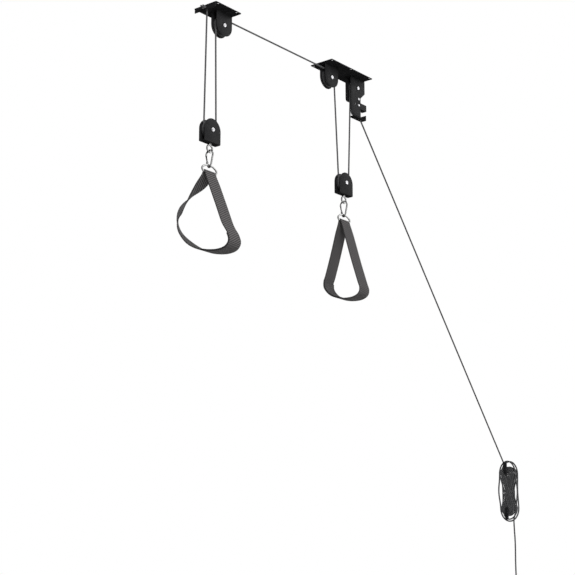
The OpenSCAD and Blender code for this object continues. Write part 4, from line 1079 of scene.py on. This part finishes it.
def eased_copy(node, body, slot, width, fold_z=None, look=None):
    """A welded copy of a node whose sharp edges are rounded, and whose folds at fold_z get a wide bend."""
    source = nodes[node]
    piece = source.copy()
    piece.data = source.data.copy()
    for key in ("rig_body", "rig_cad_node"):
        if key in piece:
            del piece[key]
    piece.parent = None
    piece.name = node + "_shell"
    piece.hide_render = False
    bpy.context.scene.collection.objects.link(piece)
    deselect()
    piece.select_set(True)
    bpy.context.view_layer.objects.active = piece
    bpy.ops.object.mode_set(mode="EDIT")
    bpy.ops.mesh.select_all(action="SELECT")
    bpy.ops.mesh.remove_doubles(threshold=WELD)
    bpy.ops.mesh.dissolve_limited(angle_limit=FLAT_ANGLE)
    if fold_z is not None:
        bpy.ops.mesh.select_all(action="DESELECT")
        bpy.ops.mesh.select_mode(type="EDGE")
        shape = bmesh.from_edit_mesh(piece.data)
        for edge in shape.edges:
            edge.select_set(on_bottom_fold(edge, fold_z))
        bmesh.update_edit_mesh(piece.data)
        bpy.ops.mesh.bevel(offset=FOLD_R, segments=FOLD_STEPS, affect="EDGES", clamp_overlap=True)
    bpy.ops.object.mode_set(mode="OBJECT")
    bevel = piece.modifiers.new("eased", "BEVEL")
    bevel.width = width
    bevel.segments = 2
    bevel.limit_method = "ANGLE"
    bevel.angle_limit = SHARP_ANGLE
    bpy.ops.object.modifier_apply(modifier=bevel.name)
    bpy.ops.object.shade_smooth_by_angle(angle=CREASE_ANGLE)
    return give(piece, body, slot, node, look=look)


def add_metalwork():
    for node in ("front_plate", "rear_plate", "front_cage", "rear_cage"):
        eased_copy(node, "hoist_frame", "black_steel", SHEET_EASE)
    lock_bottom = min(v.co.z for v in nodes["lock_cage"].data.vertices)
    eased_copy("lock_cage", "hoist_frame", "black_steel", SHEET_EASE, lock_bottom)
    for side in ("front", "rear"):
        web = (FRONT_BLOCK if side == "front" else REAR_BLOCK).y + WEB_Z
        eased_copy(side + "_block_cage", side + "_block", "black_steel", SHEET_EASE, web)
        eased_copy(side + "_block_sheave", side + "_block_pulley", "pulley_plastic", WHEEL_EASE)
        eased_copy(side + "_sheave", side + "_pulley", "pulley_plastic", WHEEL_EASE)
        eased_copy(side + "_snap_gate", side + "_gate", "chrome_wire", WHEEL_EASE)
        eased_copy(side + "_swivel_washer", side + "_block", "zinc_steel", FINE_EASE)
    eased_copy("lock_sheave", "lock_pulley", "pulley_plastic", WHEEL_EASE)
    eased_copy("lock_cam", "cam", "black_steel", FINE_EASE)
    eased_copy("lock_anvil", "hoist_frame", "black_steel", CAST_EASE)
    eased_copy("wall_cleat", "hoist_frame", "zinc_steel", CLEAT_EASE, look="dark_zinc")


add_metalwork()


# Wire and rivets

def start_edit(piece):
    deselect()
    piece.select_set(True)
    bpy.context.view_layer.objects.active = piece
    bpy.ops.object.mode_set(mode="EDIT")
    bpy.ops.mesh.select_all(action="SELECT")


def end_edit():
    bpy.ops.mesh.select_all(action="SELECT")
    bpy.ops.mesh.normals_make_consistent(inside=False)
    bpy.ops.object.mode_set(mode="OBJECT")
    bpy.ops.object.shade_smooth_by_angle(angle=SHARP_ANGLE)


def bent_rod(name, at, heading, axis, moves, radius=WIRE_R, closed=False):
    """Round wire pushed along runs and bent about axis by turns: (length,) or (radius, degrees)."""
    deselect()
    bpy.ops.mesh.primitive_circle_add(vertices=ROD_SIDES, radius=radius)
    rod = bpy.context.object
    rod.name = name
    tip, heading, axis = Vector(at), Vector(heading).normalized(), Vector(axis)
    rod.rotation_euler = heading.to_track_quat("Z", "Y").to_euler()
    rod.location = tip
    bpy.ops.object.transform_apply()
    start_edit(rod)
    for move in moves:
        if len(move) == 1:
            step = heading * move[0]
            bpy.ops.mesh.extrude_region_move(TRANSFORM_OT_translate={"value": step})
            tip = tip + step
        else:
            bend_r, degrees = move
            turn = math.radians(degrees)
            middle = tip + axis.cross(heading) * bend_r
            steps = max(BEND_MIN_STEPS, int(degrees / BEND_STEP_DEG))
            bpy.ops.mesh.spin(steps=steps, angle=-turn, center=middle, axis=axis)
            swing = Quaternion(axis, turn)
            tip = middle + swing @ (tip - middle)
            heading = swing @ heading
    bpy.ops.mesh.select_all(action="SELECT")
    bpy.ops.mesh.remove_doubles(threshold=ROD_WELD)
    if not closed:
        bpy.ops.mesh.fill_holes(sides=0)
    end_edit()
    return rod


def rod_between(name, a, b, radius):
    run = Vector(b) - Vector(a)
    return bent_rod(name, a, run, (1, 0, 0), [(run.length,)], radius)


def add_d_ring(side, block):
    corner_z = BAR_Z + RING_CORNER_R
    middle_z = RING_TOP_Z - RING_TOP_R
    corner_x = math.sqrt((RING_TOP_R - RING_CORNER_R) ** 2 - (corner_z - middle_z) ** 2)
    corner_a = math.degrees(math.atan2(corner_z - middle_z, corner_x))
    ring = bent_rod(side + "_ring_wire", (block.x, 0, block.y + BAR_Z), (1, 0, 0), (0, -1, 0), [
        (corner_x,), (RING_CORNER_R, 90 + corner_a), (RING_TOP_R, 180 - 2 * corner_a),
        (RING_CORNER_R, 90 + corner_a), (corner_x,)], closed=True)
    give(ring, side + "_sling", "chrome_wire", side + "_d_ring")


def add_snap_link(side, block):
    top_z, bottom_z = LINK_TOP_MID_Z, LINK_BOTTOM_MID_Z
    lean = math.asin((LINK_TOP_R - LINK_BOTTOM_R) / (top_z - bottom_z))
    side_l = (top_z - bottom_z) * math.cos(lean)
    up = Vector((0, math.sin(lean), math.cos(lean)))
    foot = Vector((block.x, LINK_BOTTOM_R * math.cos(lean),
                   block.y + bottom_z - LINK_BOTTOM_R * math.sin(lean)))
    start = (block.x, LINK_TOP_R * math.cos(lean), block.y + top_z - LINK_TOP_R * math.sin(lean))
    wire = bent_rod(side + "_link_wire", start, up, (1, 0, 0), [
        (LINK_TOP_R, 180 + 2 * math.degrees(lean)), (side_l,),
        (LINK_BOTTOM_R, 180 - 2 * math.degrees(lean)), (GATE_PIN_UP - GATE_R - FORK_GAP,)])
    pin = foot + up * GATE_PIN_UP
    half = Vector((TONGUE_T / 2, 0, 0))
    tongue = rod_between(side + "_tongue", pin - half, pin + half, GATE_R)
    join([wire, tongue])
    give(wire, side + "_link", "chrome_wire", side + "_snap_link")


def add_swivel_eye(side, block):
    """Collar, stem, head and eye of one forging, melted together."""
    parts = []
    for low_z, high_z, radius in ((EYE_Z + EYE_R, STEM_COLLAR_Z, STEM_R + WIRE_R / 2),
                                  (WEB_Z - WIRE_R, STEM_TOP_Z, STEM_R),
                                  (*STEM_HEAD_Z, STEM_HEAD_R)):
        deselect()
        bpy.ops.mesh.primitive_cylinder_add(vertices=ROUND_SIDES, radius=radius, depth=high_z - low_z,
                                            location=(block.x, 0, block.y + (low_z + high_z) / 2))
        parts.append(bpy.context.object)
    deselect()
    bpy.ops.mesh.primitive_torus_add(
        major_segments=72, minor_segments=ROD_SIDES, major_radius=EYE_R, minor_radius=WIRE_R,
        location=(block.x, 0, block.y + EYE_Z), rotation=(math.pi / 2, 0, 0))
    parts.append(bpy.context.object)
    eye = join(parts)
    eye.name = side + "_forged_eye"
    bpy.ops.object.transform_apply()
    melt = eye.modifiers.new("melt", "REMESH")
    melt.mode = "VOXEL"
    melt.voxel_size = FORGING_VOXEL
    bpy.ops.object.modifier_apply(modifier=melt.name)
    smooth = eye.modifiers.new("smooth", "SMOOTH")
    smooth.iterations = FORGING_SMOOTHS
    bpy.ops.object.modifier_apply(modifier=smooth.name)
    bpy.ops.object.shade_smooth()
    give(eye, side + "_eye", "chrome_wire", side + "_swivel_eye")


def formed_head(at, out, radius):
    """Rivet head pressed into a low dome with a dimple."""
    deselect()
    bpy.ops.mesh.primitive_cylinder_add(vertices=ROUND_SIDES, radius=radius, depth=RIVET_H)
    head = bpy.context.object
    start_edit(head)
    bpy.ops.mesh.select_all(action="DESELECT")
    bpy.ops.mesh.select_mode(type="FACE")
    shape = bmesh.from_edit_mesh(head.data)
    for face in shape.faces:
        face.select_set(face.normal.z > 0.9)
    bmesh.update_edit_mesh(head.data)
    bpy.ops.mesh.bevel(offset=RIVET_H * DOME_SHARE, segments=8, affect="EDGES")
    bpy.ops.mesh.select_all(action="DESELECT")
    shape = bmesh.from_edit_mesh(head.data)
    top = max(shape.faces, key=lambda f: f.calc_center_median().z + f.calc_area())
    top.select_set(True)
    bmesh.update_edit_mesh(head.data)
    for share in DIMPLE_RINGS:
        bpy.ops.mesh.inset(thickness=radius * share)
    bpy.ops.transform.translate(value=(0, 0, -RIVET_H * DIMPLE_DEPTH))
    end_edit()
    out = Vector(out)
    head.rotation_euler = out.to_track_quat("Z", "Y").to_euler()
    head.location = Vector(at) + out * (RIVET_H / 2)
    bpy.ops.object.transform_apply()
    return head


def add_rivet(node, body, at, shank_d, head_d):
    near, far = (at.x, -CHEEK_OUT, at.y), (at.x, CHEEK_OUT, at.y)
    rivet = join([rod_between(node + "_shank", near, far, shank_d / 2),
                  formed_head(near, (0, -1, 0), head_d / 2),
                  formed_head(far, (0, 1, 0), head_d / 2)])
    rivet.name = node + "_formed"
    bpy.ops.object.shade_smooth_by_angle(angle=SHARP_ANGLE)
    give(rivet, body, "bright_rivet", node)


for side, block in (("front", FRONT_BLOCK), ("rear", REAR_BLOCK)):
    add_d_ring(side, block)
    add_snap_link(side, block)
    add_swivel_eye(side, block)
    add_rivet(side + "_block_axle", side + "_block", block, AXLE_D, AXLE_HEAD_D)
for node, axle in (("front_axle", FRONT_AXLE), ("rear_axle", REAR_AXLE), ("lock_axle", LOCK_AXLE)):
    add_rivet(node, "hoist_frame", axle, AXLE_D, AXLE_HEAD_D)
add_rivet("lock_cam_pin", "hoist_frame", CAM_PIN, PIN_D, PIN_HEAD_D)


# The nodes that stay as they are packed only get their material

slot_of = {part["node"]: part["material_slot"] for part in frame["record"]["subparts"]}
for node, piece in nodes.items():
    if not piece.hide_render:
        piece.data.materials.clear()
        piece.data.materials.append(looks[slot_of[node]])
